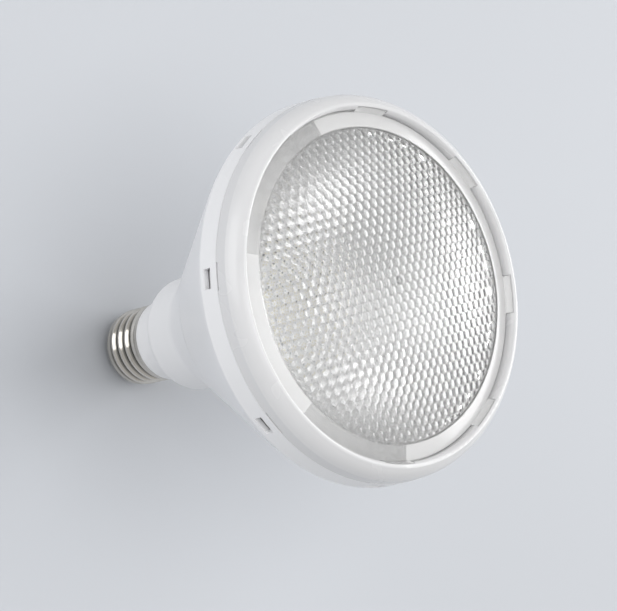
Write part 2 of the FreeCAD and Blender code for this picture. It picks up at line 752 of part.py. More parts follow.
def dome_radius():
    rise = LENS_TOP - LENS_FIELD_Z
    return (LENS_FIELD_R ** 2 + rise ** 2) / (2.0 * rise)


def dome_z(x, y):
    radius = dome_radius()
    return LENS_TOP - radius + math.sqrt(radius ** 2 - x * x - y * y)


def cell_corners(i, j):
    """Corner points of one cell of the hexagonal field, and the keys that its neighbours share."""
    a1 = math.radians(CELL_ANGLE)
    a2 = math.radians(CELL_ANGLE + 60.0)
    cx = CELL_SHIFT[0] + CELL_PITCH * (i * math.cos(a1) + j * math.cos(a2))
    cy = CELL_SHIFT[1] + CELL_PITCH * (i * math.sin(a1) + j * math.sin(a2))
    reach = CELL_PITCH / math.sqrt(3.0)
    # Corner k is 30 + 60k degrees from the row direction. Thirds of the lattice steps
    # give it a whole-number key that the three cells around it have in common.
    thirds = [(1, 1), (-1, 2), (-2, 1), (-1, -1), (1, -2), (2, -1)]
    corners = []
    for k in range(6):
        a = math.radians(CELL_ANGLE + 30.0 + 60.0 * k)
        key = (3 * i + thirds[k][0], 3 * j + thirds[k][1])
        corners.append((key, cx + reach * math.cos(a), cy + reach * math.sin(a)))
    return (cx, cy), corners


def circle_crossing(inside, outside):
    """Point where the line from an inner to an outer point crosses the field's edge."""
    ax, ay = inside
    bx, by = outside[0] - ax, outside[1] - ay
    a = bx * bx + by * by
    b = 2.0 * (ax * bx + ay * by)
    c = ax * ax + ay * ay - LENS_FIELD_R ** 2
    t = (-b + math.sqrt(b * b - 4.0 * a * c)) / (2.0 * a)
    return ax + bx * t, ay + by * t


def place_corner(key, x, y):
    """A corner within the margin of the field's edge is moved onto it."""
    reach = math.hypot(x, y)
    if abs(reach - LENS_FIELD_R) > CELL_EDGE_MARGIN:
        return (key, x, y, reach < LENS_FIELD_R, False)
    scale = LENS_FIELD_R / reach
    return (key, x * scale, y * scale, True, True)


def clipped_cell(corners):
    """The part of a cell that lies in the field, as keyed points."""
    placed = [place_corner(*corner) for corner in corners]
    points = []
    for k in range(6):
        here = placed[k]
        after = placed[(k + 1) % 6]
        if here[3]:
            points.append(here[:3])
        if here[3] != after[3]:
            first, second = (here, after) if here[3] else (after, here)
            if not first[4]:
                x, y = circle_crossing(first[1:3], second[1:3])
                points.append(((first[0], second[0]), x, y))
    return points


def lens_field():
    """Facets of all cells, and the many-sided edge where they meet the lens ring."""
    vertices = {}
    edges = {}
    uses = {}

    def vertex(key, x, y, z):
        if key not in vertices:
            vertices[key] = Part.Vertex(x, y, z)
        return vertices[key]

    def edge(key_a, key_b):
        key = (key_a, key_b) if str(key_a) < str(key_b) else (key_b, key_a)
        if key not in edges:
            edges[key] = Part.makeLine(vertices[key[0]].Point, vertices[key[1]].Point)
        uses[key] = uses.get(key, 0) + 1
        return edges[key]

    count = int(LENS_FIELD_R / CELL_PITCH * 1.3) + 2
    faces = []
    full_area = CELL_PITCH ** 2 * math.sqrt(3.0) / 2.0
    for i in range(-count, count + 1):
        for j in range(-count, count + 1):
            centre, corners = cell_corners(i, j)
            points = clipped_cell(corners)
            if len(points) < 3:
                continue
            area = polygon_area(points)
            cx = sum(p[1] for p in points) / len(points)
            cy = sum(p[2] for p in points) / len(points)
            if len(points) == 6 and area > 0.999 * full_area:
                cx, cy = centre
            apex = ("apex", i, j)
            vertex(apex, cx, cy, dome_z(cx, cy) + CELL_RISE * area / full_area)
            for (key, x, y) in points:
                vertex(key, x, y, dome_z(x, y))
            for k in range(len(points)):
                a = points[k][0]
                b = points[(k + 1) % len(points)][0]
                faces.append(Part.Face(Part.Wire([edge(a, b), edge(b, apex), edge(apex, a)])))
    rim = [edges[key] for key in edges if uses[key] == 1]
    return faces, rim


def polygon_area(points):
    total = 0.0
    for k in range(len(points)):
        x0, y0 = points[k][1:]
        x1, y1 = points[(k + 1) % len(points)][1:]
        total += x0 * y1 - x1 * y0
    return abs(total) / 2.0


def lens_blank():
    """The lens with a smooth dome in place of the cells: ring, bead, flange and lugs."""
    bead_out = BEAD_START + BEAD_WIDTH
    bead_top = LENS_FIELD_Z + BEAD_HEIGHT
    under_z = LENS_FIELD_Z - LENS_WALL
    flange_low = LENS_STEP_Z - LENS_FLANGE_WALL
    inner_r = LENS_FIELD_R + LENS_DOME_MARGIN
    under_top = LENS_TOP - LENS_WALL
    mid = arc_mid((0.0, under_top), (1.0, 0.0), (inner_r, under_z))
    top = arc_mid((0.0, LENS_TOP), (1.0, 0.0), (BEAD_START, LENS_FIELD_Z))
    edge_z = LENS_RING_Z - LENS_EDGE_CHAMFER
    steps = [top + (BEAD_START, LENS_FIELD_Z),
             (BEAD_START + BEAD_DRAFT, bead_top), (bead_out - BEAD_DRAFT, bead_top),
             (bead_out, LENS_FIELD_Z - BEAD_FOOT),
             (LENS_RING_R - LENS_EDGE_CHAMFER, LENS_RING_Z), (LENS_RING_R, edge_z),
             (LENS_RING_R, LENS_STEP_Z), (LENS_FLANGE_R, LENS_STEP_Z),
             (LENS_FLANGE_R, flange_low), (LENS_RING_R - LENS_FLANGE_REACH, flange_low),
             (inner_r, under_z), mid + (0.0, under_top)]
    blank = turned((0.0, LENS_TOP), steps)
    lug_in = LENS_RING_R - LUG_ROOT
    lug_out = LENS_RING_R + LUG_REACH
    lug_foot = LENS_STEP_Z - LUG_DEPTH
    # A lug's top climbs from the ring to the flank of the bezel.
    lug_ring = turned((lug_in, lug_foot), [(lug_out, lug_foot), (lug_out, LENS_RING_Z + LUG_RISE),
                                           (lug_in, LENS_RING_Z)])
    for angle in clip_angles():
        lug_room = sector(lug_in - CUT_ROOM, lug_out + CUT_ROOM, LUG_ANGLE,
                          lug_foot - CUT_ROOM, LENS_TOP, angle)
        blank = blank.fuse(lug_ring.common(lug_room))
    return blank


def lens():
    blank = lens_blank()
    dome = max(blank.Faces, key=lambda face: face.BoundBox.ZMax)
    kept = [face for face in blank.Faces if not face.isSame(dome)]
    ring = Part.Wire(ring_edges(dome, LENS_FIELD_Z))
    cells, rim = lens_field()
    rim_wire = Part.Wire(Part.__sortEdges__(rim))
    ledge = Part.Face([ring, rim_wire])
    ledge.validate()
    shell = Part.Shell(kept + [ledge] + cells)
    shell.sewShape()
    body = Part.Solid(shell)
    if body.Volume < 0:
        body.reverse()
    return body


# Gasket, reflector and heat sink

def lens_gasket():
    bottom = UPSTAND_TOP + REFLECTOR_WALL + 2.0 * SEAT_GAP
    top = LENS_STEP_Z - LENS_FLANGE_WALL - SEAT_GAP
    inner = GASKET_R - GASKET_WIDTH
    mid = (top + bottom) / 2.0
    steps = [(GASKET_R + GASKET_BULGE, mid, GASKET_R, top), (inner, top),
             (inner - GASKET_BULGE, mid, inner, bottom)]
    return turned((GASKET_R, bottom), steps)


def bowl_z(r):
    """Paraboloid from the face of the light board up to the rim."""
    height = UPSTAND_TOP - REFLECTOR_RIM_DROP - light_face()
    share = (r ** 2 - REFLECTOR_MOUTH_R ** 2) / (REFLECTOR_RIM_R ** 2 - REFLECTOR_MOUTH_R ** 2)
    return light_face() + height * share


def light_face():
    return SINK_FLOOR_Z + SINK_FLOOR + PAD_WALL + BOARD_WALL


def bowl_curve(points, shift):
    pts = [V(r + shift, 0, bowl_z(r) - shift * REFLECTOR_BACK_RATIO) for r in points]
    curve = Part.BSplineCurve()
    curve.interpolate(pts)
    return curve.toShape(), pts


def reflector():
    low_r = REFLECTOR_MOUTH_R + REFLECTOR_FOOT
    step = (REFLECTOR_RIM_R - low_r) / (REFLECTOR_STATION_COUNT - 1)
    stations = [low_r + step * k for k in range(REFLECTOR_STATION_COUNT)]
    bowl_face, face_pts = bowl_curve(stations, 0.0)
    bowl_back, back_pts = bowl_curve(stations, REFLECTOR_WALL)
    foot = light_face() + SEAT_GAP
    flange_low = UPSTAND_TOP + SEAT_GAP
    flange_top = flange_low + REFLECTOR_WALL
    corners = [face_pts[-1], V(REFLECTOR_RIM_R + REFLECTOR_LIP[0], 0, flange_top),
               V(REFLECTOR_FLANGE_R, 0, flange_top), V(REFLECTOR_FLANGE_R, 0, flange_low),
               V(REFLECTOR_RIM_R + REFLECTOR_LIP[1], 0, flange_low), back_pts[-1]]
    feet = [back_pts[0], V(low_r + REFLECTOR_WALL, 0, foot), V(low_r, 0, foot), face_pts[0]]
    edges = [bowl_face]
    for a, b in zip(corners, corners[1:]):
        edges.append(Part.makeLine(a, b))
    edges.append(bowl_back)
    for a, b in zip(feet, feet[1:]):
        edges.append(Part.makeLine(a, b))
    face = Part.Face(Part.Wire(Part.__sortEdges__(edges)))
    return face.revolve(V(0, 0, 0), V(0, 0, 1), 360)


def heat_sink():
    outside = cone_inset(FRONT_WALL) + SLIP_GAP
    floor_top = SINK_FLOOR_Z + SINK_FLOOR
    low_r = cone_r(SINK_FLOOR_Z + SINK_BEND) - outside
    top_r = cone_r(SINK_TOP) - outside
    wall = cone_inset(SINK_WALL)
    steps = [(low_r - SINK_BEND, SINK_FLOOR_Z), (low_r, SINK_FLOOR_Z + SINK_BEND), (top_r, SINK_TOP),
             (top_r - wall, SINK_TOP), (cone_r(floor_top) - outside - wall, floor_top),
             (0.0, floor_top)]
    body = turned((0.0, SINK_FLOOR_Z), steps)
    for angle in post_angles():
        spot = polar(POST_CIRCLE_R, angle, SINK_FLOOR_Z)
        body = body.cut(Part.makeCylinder(SCREW_R + SLIP_GAP, SINK_FLOOR, spot))
    for angle in board_screw_angles():
        spot = polar(BOARD_SCREW_R, angle, SINK_FLOOR_Z)
        body = body.cut(Part.makeCylinder(SCREW_R + SEAT_GAP, SINK_FLOOR, spot))
    return body.cut(lead_hole(SINK_FLOOR_Z, floor_top))


def lead_hole(bottom, top):
    spot = polar(LEAD_HOLE_PLACE, LEAD_HOLE_ANGLE, bottom)
    return Part.makeCylinder(LEAD_HOLE_R, top - bottom, spot)


def board_screw_angles():
    return [BOARD_SCREW_START_ANGLE + i * 360.0 / POST_COUNT for i in range(POST_COUNT)]


def heat_sink_screws():
    # The heads sit in the wells that the board and the pad leave over the posts.
    solids = []
    for angle in post_angles():
        part = screw(SCREW_LENGTH)
        part.translate(polar(POST_CIRCLE_R, angle, SINK_FLOOR_Z + SINK_FLOOR + SEAT_GAP))
        solids.append(part)
    return Part.makeCompound(solids)


# Light board

def board_blank(radius, bottom, wall, hole_r):
    """Disc with wells over the heat sink screws, and holes for the board screws and leads."""
    body = Part.makeCylinder(radius, wall, V(0, 0, bottom))
    for angle in post_angles():
        spot = polar(POST_CIRCLE_R, angle, bottom)
        body = body.cut(Part.makeCylinder(SCREW_HEAD_R + HEAD_ROOM, wall, spot))
    for angle in board_screw_angles():
        spot = polar(BOARD_SCREW_R, angle, bottom)
        body = body.cut(Part.makeCylinder(hole_r, wall, spot))
    return body.cut(lead_hole(bottom, bottom + wall))


def thermal_pad():
    floor_top = SINK_FLOOR_Z + SINK_FLOOR
    return board_blank(BOARD_R - PAD_SET_IN, floor_top, PAD_WALL, SCREW_R + PAD_HOLE_ROOM)


def led_board():
    bottom = SINK_FLOOR_Z + SINK_FLOOR + PAD_WALL
    return board_blank(BOARD_R, bottom, BOARD_WALL, SCREW_R + SLIP_GAP)


def led_packages():
    solids = []
    rings = ((BOARD_R * INNER_PACKAGE_SHARE_RATIO, INNER_PACKAGE_COUNT),
             (BOARD_R * OUTER_PACKAGE_SHARE_RATIO, OUTER_PACKAGE_COUNT))
    for (radius, count) in rings:
        for k in range(count):
            angle = k * 360.0 / count
            spot = polar(radius, angle, light_face())
            size = (PACKAGE_SIZE, PACKAGE_SIZE, PACKAGE_HEIGHT)
            body = block(size, (0, 0, 0))
            edges = [e for e in body.Edges if e.BoundBox.ZMin > PACKAGE_HEIGHT - 0.01]
            body = body.makeChamfer(PACKAGE_CHAMFER, edges)
            body.rotate(V(0, 0, 0), V(0, 0, 1), angle)
            body.translate(spot)
            solids.append(body)
    return Part.makeCompound(solids)


def board_screws():
    solids = []
    for angle in board_screw_angles():
        part = screw(BOARD_SCREW_LENGTH)
        part.translate(polar(BOARD_SCREW_R, angle, light_face() + SEAT_GAP))
        solids.append(part)
    return Part.makeCompound(solids)


def connector_place():
    """Where the plug block stands: further out than the lead hole, on the same angle."""
    return LEAD_HOLE_PLACE + CONNECTOR_SHIFT


def lead_connector():
    size_x, size_y, size_z = CONNECTOR_SIZE
    body = block((size_y, size_x, size_z), (connector_place(), 0, light_face() + SEAT_GAP))
    for side in (-1.0, 1.0):
        mouth = block((size_y - MOUTH_WALL, MOUTH_SIZE[0], MOUTH_SIZE[1]),
                      (connector_place() - MOUTH_WALL, side * size_x / 4.0,
                       light_face() + MOUTH_Z))
        body = body.cut(mouth)
    return turn(body, LEAD_HOLE_ANGLE)


# Driver

def driver_board():
    y = -DRIVER_WALL / 2.0
    half = spigot_bore_r() - DRIVER_FOOT_ROOM
    foot = Part.makeBox(2.0 * half, DRIVER_WALL, DRIVER_STEP - DRIVER_FOOT + CUT_ROOM,
                        V(-half, y, DRIVER_FOOT))
    head = Part.makeBox(DRIVER_WIDTH, DRIVER_WALL, DRIVER_TOP - DRIVER_STEP,
                        V(-DRIVER_WIDTH / 2.0, y, DRIVER_STEP))
    return foot.fuse(head).removeSplitter()


def face_y(side):
    """The face of the driver board on the plus or minus side of Y."""
    return side * (DRIVER_WALL / 2.0 + SEAT_GAP)


def on_board(size, x, z, side):
    y = face_y(side) if side > 0 else face_y(side) - size[1]
    return Part.makeBox(size[0], size[1], size[2], V(x - size[0] / 2.0, y, z))


def transformer_core():
    """Two E-shaped halves as one block with a window each side of the middle leg."""
    width, depth, height = CORE_SIZE
    body = on_board(CORE_SIZE, 0.0, CORE_Z, 1.0)
    y = face_y(1.0)
    window = Part.makeBox(width - 2.0 * CORE_LEG, depth + 2.0, height - 2.0 * CORE_LEG,
                          V(-width / 2.0 + CORE_LEG, y - 1.0, CORE_Z + CORE_LEG))
    leg = Part.makeCylinder(CORE_LEG, height, V(0, y + depth / 2.0, CORE_Z))
    return body.cut(window).fuse(leg).removeSplitter()


def transformer_winding():
    width, depth, height = CORE_SIZE
    y = face_y(1.0) + depth / 2.0
    inner = CORE_LEG + SEAT_GAP
    bottom = CORE_Z + CORE_LEG + SEAT_GAP
    length = height - 2.0 * CORE_LEG - 2.0 * SEAT_GAP
    outer_r = min(WINDING_R, width / 2.0 - CORE_LEG - SEAT_GAP, depth / 2.0 - SEAT_GAP)
    body = Part.makeCylinder(outer_r, length, V(0, y, bottom))
    return body.cut(Part.makeCylinder(inner, length, V(0, y, bottom)))


def can(radius, length, x, z, side):
    """Upright capacitor can with a rolled groove near its foot, against the board."""
    y = side * (DRIVER_WALL / 2.0 + SEAT_GAP + radius)
    groove_z = CAN_GROOVE_PLACE_RATIO * length
    half = CAN_GROOVE_WIDTH
    groove = CAN_GROOVE_DEPTH_RATIO * radius
    steps = [(radius, 0.0), (radius, groove_z - half), (radius - groove, groove_z),
             (radius, groove_z + half), (radius, length - CAN_EDGE), (radius - CAN_EDGE, length),
             (0.0, length)]
    body = turned((0.0, 0.0), steps)
    body.translate(V(x, y, z))
    return body


def bulk_capacitor():
    return can(BULK_R, BULK_LENGTH, BULK_X, BULK_Z, -1.0)


def output_capacitor():
    return can(OUTPUT_R, OUTPUT_LENGTH, OUTPUT_X, OUTPUT_Z, -1.0)


def film_capacitor():
    body = on_board(FILM_SIZE, 0.0, FILM_Z, -1.0)
    return body.makeFillet(END_ROUND, body.Edges)


def bridge_rectifier():
    return on_board(BRIDGE_SIZE, 0.0, BRIDGE_Z, -1.0)


def switching_chip():
    return on_board(CHIP_SIZE, 0.0, CHIP_Z, 1.0)


def varistor():
    y = face_y(1.0)
    spot = V(0, y, FILM_Z + VARISTOR_RISE)
    body = Part.makeCylinder(VARISTOR_R, VARISTOR_WALL, spot, V(0, 1, 0))
    return body.makeFillet(VARISTOR_ROUND, body.Edges)


def fuse_resistor():
    y = face_y(1.0) + FUSE_R
    body = Part.makeCylinder(FUSE_R, FUSE_LENGTH, V(-FUSE_LENGTH / 2.0, y, BRIDGE_Z), V(1, 0, 0))
    return body.makeFillet(END_ROUND, body.Edges)


def live_lead():
    tip = CONTACT_STEM_TOP + SEAT_GAP
    board_foot = DRIVER_FOOT - SEAT_GAP
    return lead([(0, 0, tip), (0, 0, tip + LEAD_RUN), (LIVE_X, 0, board_foot - LEAD_RUN),
                 (LIVE_X, 0, board_foot)])


def neutral_lead():
    wall = shell_inner_root() - LEAD_R - SLIP_GAP
    low = SPIGOT_START - LEAD_R - SLIP_GAP
    board_foot = DRIVER_FOOT - SEAT_GAP
    return lead([(-wall, 0, low), (NEUTRAL_X[0], 0, low),
                 (NEUTRAL_X[1], 0, board_foot - LEAD_RUN), (NEUTRAL_X[1], 0, board_foot)])


def output_lead(side):
    """From the top of the driver board up through the floor to the plug block."""
    start = V(side * OUTPUT_LEAD_X, 0, DRIVER_TOP + SEAT_GAP)
    hole = polar(LEAD_HOLE_PLACE, LEAD_HOLE_ANGLE)
    across = polar(1.0, LEAD_HOLE_ANGLE + 90.0)
    offset = across * (side * -LEAD_SPREAD)
    mouth_z = light_face() + MOUTH_Z + MOUTH_SIZE[1] / 2.0
    end_r = connector_place() - CONNECTOR_SIZE[1] / 2.0 - SEAT_GAP
    end = polar(end_r, LEAD_HOLE_ANGLE) + across * (side * -CONNECTOR_SIZE[0] / 4.0)
    below = hole + offset
    points = [start, start + V(0, 0, OUTPUT_LEAD_RISE),
              below + V(0, 0, SINK_FLOOR_Z - OUTPUT_LEAD_DROP),
              below + V(0, 0, mouth_z), V(end.x, end.y, mouth_z)]
    return lead([(p.x, p.y, p.z) for p in points])


def positive_lead():
    return output_lead(1.0)


def negative_lead():
    return output_lead(-1.0)


NODES = (screw_shell, cap_insulator, centre_contact, rear_housing, front_housing, bezel_ring,
         lens, lens_gasket, reflector, heat_sink, heat_sink_screws, thermal_pad, led_board,
         led_packages, board_screws, lead_connector, driver_board, transformer_core,
         transformer_winding, bulk_capacitor, output_capacitor, film_capacitor,
         bridge_rectifier, switching_chip, varistor, fuse_resistor, live_lead, neutral_lead,
         positive_lead, negative_lead)


os.makedirs("parts", exist_ok=True)
for build in NODES:
    shape = build()
    shape.exportStep("parts/" + build.__name__ + ".step")
    print(build.__name__, len(shape.Solids), shape.isValid(), round(shape.Volume, 1))
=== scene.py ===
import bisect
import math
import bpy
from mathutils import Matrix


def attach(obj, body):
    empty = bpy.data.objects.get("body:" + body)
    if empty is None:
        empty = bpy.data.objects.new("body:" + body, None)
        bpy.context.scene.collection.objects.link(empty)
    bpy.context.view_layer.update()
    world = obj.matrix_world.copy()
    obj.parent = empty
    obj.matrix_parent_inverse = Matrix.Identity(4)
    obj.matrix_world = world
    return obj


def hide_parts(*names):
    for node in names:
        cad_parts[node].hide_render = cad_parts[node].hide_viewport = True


bl_info = {
    "name": "Reflector lamp",
    "version": (1, 0, 0),
    "blender": (4, 5, 0),
    "location": "View3D > Sidebar > Lamp",
    "description": "Finishes a screw-cap reflector lamp and sets it on a plain studio floor",
    "category": "Object",
}

import bpy
from mathutils import Matrix, Vector

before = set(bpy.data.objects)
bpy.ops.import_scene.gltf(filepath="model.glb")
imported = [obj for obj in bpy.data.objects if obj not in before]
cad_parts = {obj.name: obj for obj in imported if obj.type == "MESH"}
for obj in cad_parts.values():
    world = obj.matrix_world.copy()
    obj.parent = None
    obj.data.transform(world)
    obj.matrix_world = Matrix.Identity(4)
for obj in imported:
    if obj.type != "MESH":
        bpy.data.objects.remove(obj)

MM = 0.001
BODY = "root"
LUG_COUNT = 8
POLYCARBONATE_IOR = 1.586
# Directions in degrees, from and to, between which the ring is made clearer, so that it looks darker
# there: painted shade.
PAINTED_SHADE_ARCS = ((112.0, 170.0), (226.0, 272.0))


def linear(colour):
    """Linear RGBA of an sRGB hex colour."""
    channels = [int(colour[k : k + 2], 16) / 255.0 for k in (1, 3, 5)]
    return [c / 12.92 if c <= 0.04045 else ((c + 0.055) / 1.055) ** 2.4 for c in channels] + [1.0]


def per_metre(size_mm):
    """Scale of a pattern whose features are that many millimetres across."""
    return 1.0 / (size_mm * MM)


class LampSizes(bpy.types.PropertyGroup):
    """Sizes of the moulded lens, in the lamp's own frame."""

    field_radius: bpy.props.FloatProperty(
        name="Field radius", description="Radius of the hexagonal field",
        default=48.6 * MM, unit="LENGTH", precision=5)
    field_height: bpy.props.FloatProperty(
        name="Field height", description="Height of the field's edge",
        default=129.9 * MM, unit="LENGTH", precision=5)
    dome_height: bpy.props.FloatProperty(
        name="Dome height", description="Height of the dome under the pillows",
        default=137.1 * MM, unit="LENGTH", precision=5)
    wall: bpy.props.FloatProperty(
        name="Wall", description="Thickness of the lens under the pillows",
        default=2.2 * MM, unit="LENGTH", precision=5)
    bead_gap: bpy.props.FloatProperty(
        name="Bead gap", description="From the field's edge to the bead round it",
        default=0.3 * MM, unit="LENGTH", precision=5)
    bead_width: bpy.props.FloatProperty(
        name="Bead width", description="Width of the bead at its foot",
        default=0.6 * MM, unit="LENGTH", precision=5)
    bead_draft: bpy.props.FloatProperty(
        name="Bead draft", description="How far each side of the bead leans in",
        default=0.15 * MM, unit="LENGTH", precision=5)
    bead_height: bpy.props.FloatProperty(
        name="Bead height", description="Height of the bead round the field",
        default=0.3 * MM, unit="LENGTH", precision=5)
    ring_radius: bpy.props.FloatProperty(
        name="Ring radius", description="Outer radius of the clear ring",
        default=54.45 * MM, unit="LENGTH", precision=5)
    ring_height: bpy.props.FloatProperty(
        name="Ring height", description="Height of the clear ring's outer edge",
        default=129.0 * MM, unit="LENGTH", precision=5)
    ring_wall: bpy.props.FloatProperty(
        name="Ring wall", description="Height of the ring's edge over the flange",
        default=1.4 * MM, unit="LENGTH", precision=5)
    flange_radius: bpy.props.FloatProperty(
        name="Flange radius", description="Outer radius of the flange under the bezel",
        default=57.5 * MM, unit="LENGTH", precision=5)
    flange_wall: bpy.props.FloatProperty(
        name="Flange wall", description="Thickness of the flange",
        default=1.6 * MM, unit="LENGTH", precision=5)
    flange_reach: bpy.props.FloatProperty(
        name="Flange reach", description="How far the flange's flat underside runs in under the ring",
        default=2.0 * MM, unit="LENGTH", precision=5)
    edge_size: bpy.props.FloatProperty(
        name="Edge", description="Width of the ring's outer edge break",
        default=0.3 * MM, unit="LENGTH", precision=5)
    cell_pitch: bpy.props.FloatProperty(
        name="Cell pitch", description="Distance between the middles of two pillows",
        default=3.15 * MM, unit="LENGTH", precision=5)
    cell_rise: bpy.props.FloatProperty(
        name="Cell rise", description="Height of a pillow over its corners",
        default=0.38 * MM, unit="LENGTH", precision=5)
    cell_turn: bpy.props.FloatProperty(
        name="Cell turn", description="Direction of a row of pillows",
        default=math.radians(11.0), subtype="ANGLE")
    cell_shift: bpy.props.FloatVectorProperty(
        name="Cell shift", description="Middle of the pillow nearest the axis",
        size=2, default=(0.65 * MM, 0.34 * MM), unit="LENGTH", precision=5)
    cell_steps: bpy.props.IntProperty(
        name="Cell steps", description="Rows of facets from a pillow's middle to its edge",
        default=4, min=2, max=5, subtype="UNSIGNED")
    lug_start: bpy.props.FloatProperty(
        name="First lug", description="Direction of the first lug",
        default=math.radians(42.0), subtype="ANGLE")
    lug_width: bpy.props.FloatProperty(
        name="Lug width", description="Angle that one lug takes up",
        default=math.radians(12.7), subtype="ANGLE")
    lug_draft: bpy.props.FloatProperty(
        name="Lug draft", description="Angle over which a lug's side falls",
        default=math.radians(0.06), subtype="ANGLE")
    lug_reach: bpy.props.FloatProperty(
        name="Lug reach", description="How far a lug stands out of the ring",
        default=0.9 * MM, unit="LENGTH", precision=5)
    lug_rise: bpy.props.FloatProperty(
        name="Lug rise", description="How far a lug's top climbs over the ring",
        default=2.0 * MM, unit="LENGTH", precision=5)
    gate_radius: bpy.props.FloatProperty(
        name="Gate radius", description="Radius of the moulding gate's mark on the axis",
        default=1.3 * MM, unit="LENGTH", precision=5)
    gate_height: bpy.props.FloatProperty(
        name="Gate height", description="How far the gate's mark stands over the pillows",
        default=0.05 * MM, unit="LENGTH", precision=5)
    gate_depth: bpy.props.FloatProperty(
        name="Gate depth", description="How far down the gate's mark starts",
        default=0.5 * MM, unit="LENGTH", precision=5)
    gate_edge: bpy.props.FloatProperty(
        name="Gate edge", description="Width of the bevels on the gate's mark",
        default=0.1 * MM, unit="LENGTH", precision=5)
    gate_dish: bpy.props.FloatProperty(
        name="Gate dish", description="Depth of the dish in the gate's mark",
        default=0.2 * MM, unit="LENGTH", precision=5)
    bowl_radius: bpy.props.FloatProperty(
        name="Bowl radius", description="Where the aluminium on the reflector ends",
        default=53.0 * MM, unit="LENGTH", precision=5)
    thread_root: bpy.props.FloatProperty(
        name="Thread root", description="Radius at the root of the cap's thread",
        default=12.15 * MM, unit="LENGTH", precision=5)
    thread_crest: bpy.props.FloatProperty(
        name="Thread crest", description="Radius at the crest of the cap's thread",
        default=13.15 * MM, unit="LENGTH", precision=5)


class LampFinishes(bpy.types.PropertyGroup):
    """Colours of the finishes, as sRGB hex values."""

    housing: bpy.props.StringProperty(
        name="Housing", description="Colour of both housings", default="#F3F3F4")
    bezel: bpy.props.StringProperty(
        name="Bezel", description="Colour of the bezel ring", default="#DDDDDE")
    lens: bpy.props.StringProperty(
        name="Lens", description="Tint of the clear lens", default="#FFFFFF")
    reflector: bpy.props.StringProperty(
        name="Reflector", description="Colour of the metallised bowl", default="#FBFBFB")
    flange: bpy.props.StringProperty(
        name="Reflector flange", description="Colour of the bare flange round the bowl",
        default="#F2F2F2")
    cap: bpy.props.StringProperty(
        name="Cap", description="Colour of the plated screw cap", default="#D8D4CD")
    tarnish: bpy.props.StringProperty(
        name="Tarnish", description="Colour of the clouds on the plated cap", default="#8A7F70")
    # Painted shade: the thread's roots are darkened towards this colour.
    painted_groove_shade: bpy.props.StringProperty(
        name="Groove", description="Colour of the dirt in the thread's root",
        default="#3A382F")
    board: bpy.props.StringProperty(
        name="Light board", description="Colour of the light board's mask", default="#FAFAFA")
    phosphor: bpy.props.StringProperty(
        name="Phosphor", description="Colour of the gel over the diodes", default="#F2ECD2")
    laminate: bpy.props.StringProperty(
        name="Driver board", description="Colour of the driver board's mask", default="#2A6B43")


class StageSettings(bpy.types.PropertyGroup):
    """Floor, lamps and camera."""

    floor_colour: bpy.props.StringProperty(
        name="Floor", description="Colour of the floor", default="#C6C9CE")
    floor_size: bpy.props.FloatProperty(
        name="Floor size", description="Side of the square floor",
        default=8.0, unit="LENGTH")
    world_strength: bpy.props.FloatProperty(
        name="Surround", description="Strength of the light from all round",
        default=0.5, min=0.0, soft_max=1.0, subtype="FACTOR")
    surround_colour: bpy.props.StringProperty(
        name="Surround colour", description="Colour of the light from all round",
        default="#FAFAFA")
    key_power: bpy.props.FloatProperty(
        name="Key", description="Power of the soft lamp beside the cap", default=4.8, unit="POWER")
    top_power: bpy.props.FloatProperty(
        name="Top", description="Power of the soft lamp over the cone", default=6.0, unit="POWER")
    lens_power: bpy.props.FloatProperty(
        name="Lens", description="Power of the soft lamp over the lens", default=5.0, unit="POWER")
    side_power: bpy.props.FloatProperty(
        name="Side", description="Power of the low soft lamp past the lens", default=9.2,
        unit="POWER")
    lens_length: bpy.props.FloatProperty(
        name="Focal length", description="Focal length of the camera",
        default=140.03, unit="CAMERA")


def add_node(tree, kind, inputs=(), **settings):
    """Adds a node, sets what it is given and links the sockets among its inputs."""
    node = tree.nodes.new(kind)
    for name, value in settings.items():
        setattr(node, name, value)
    for name, value in dict(inputs).items():
        if isinstance(value, bpy.types.NodeSocket):
            tree.links.new(value, node.inputs[name])
        else:
            node.inputs[name].default_value = value
    return node


def new_material(name):
    """An empty material, its node tree, and the object's own coordinates in metres."""
    material = bpy.data.materials.new(name)
    material.use_nodes = True
    tree = material.node_tree
    tree.nodes.clear()
    place = add_node(tree, "ShaderNodeTexCoord").outputs["Object"]
    return material, tree, place


def radius_from_axis(tree, place):
    """Distance of a place from the lamp's axis, in metres."""
    flat = add_node(tree, "ShaderNodeVectorMath", {0: place, 1: (1.0, 1.0, 0.0)},
                    operation="MULTIPLY")
    radius = add_node(tree, "ShaderNodeVectorMath", {0: flat.outputs["Vector"]},
                      operation="LENGTH")
    return radius.outputs["Value"]


def close_material(tree, inputs):
    """Adds the surface shader and the output of a material."""
    shader = add_node(tree, "ShaderNodeBsdfPrincipled", inputs)
    add_node(tree, "ShaderNodeOutputMaterial", {"Surface": shader.outputs["BSDF"]})


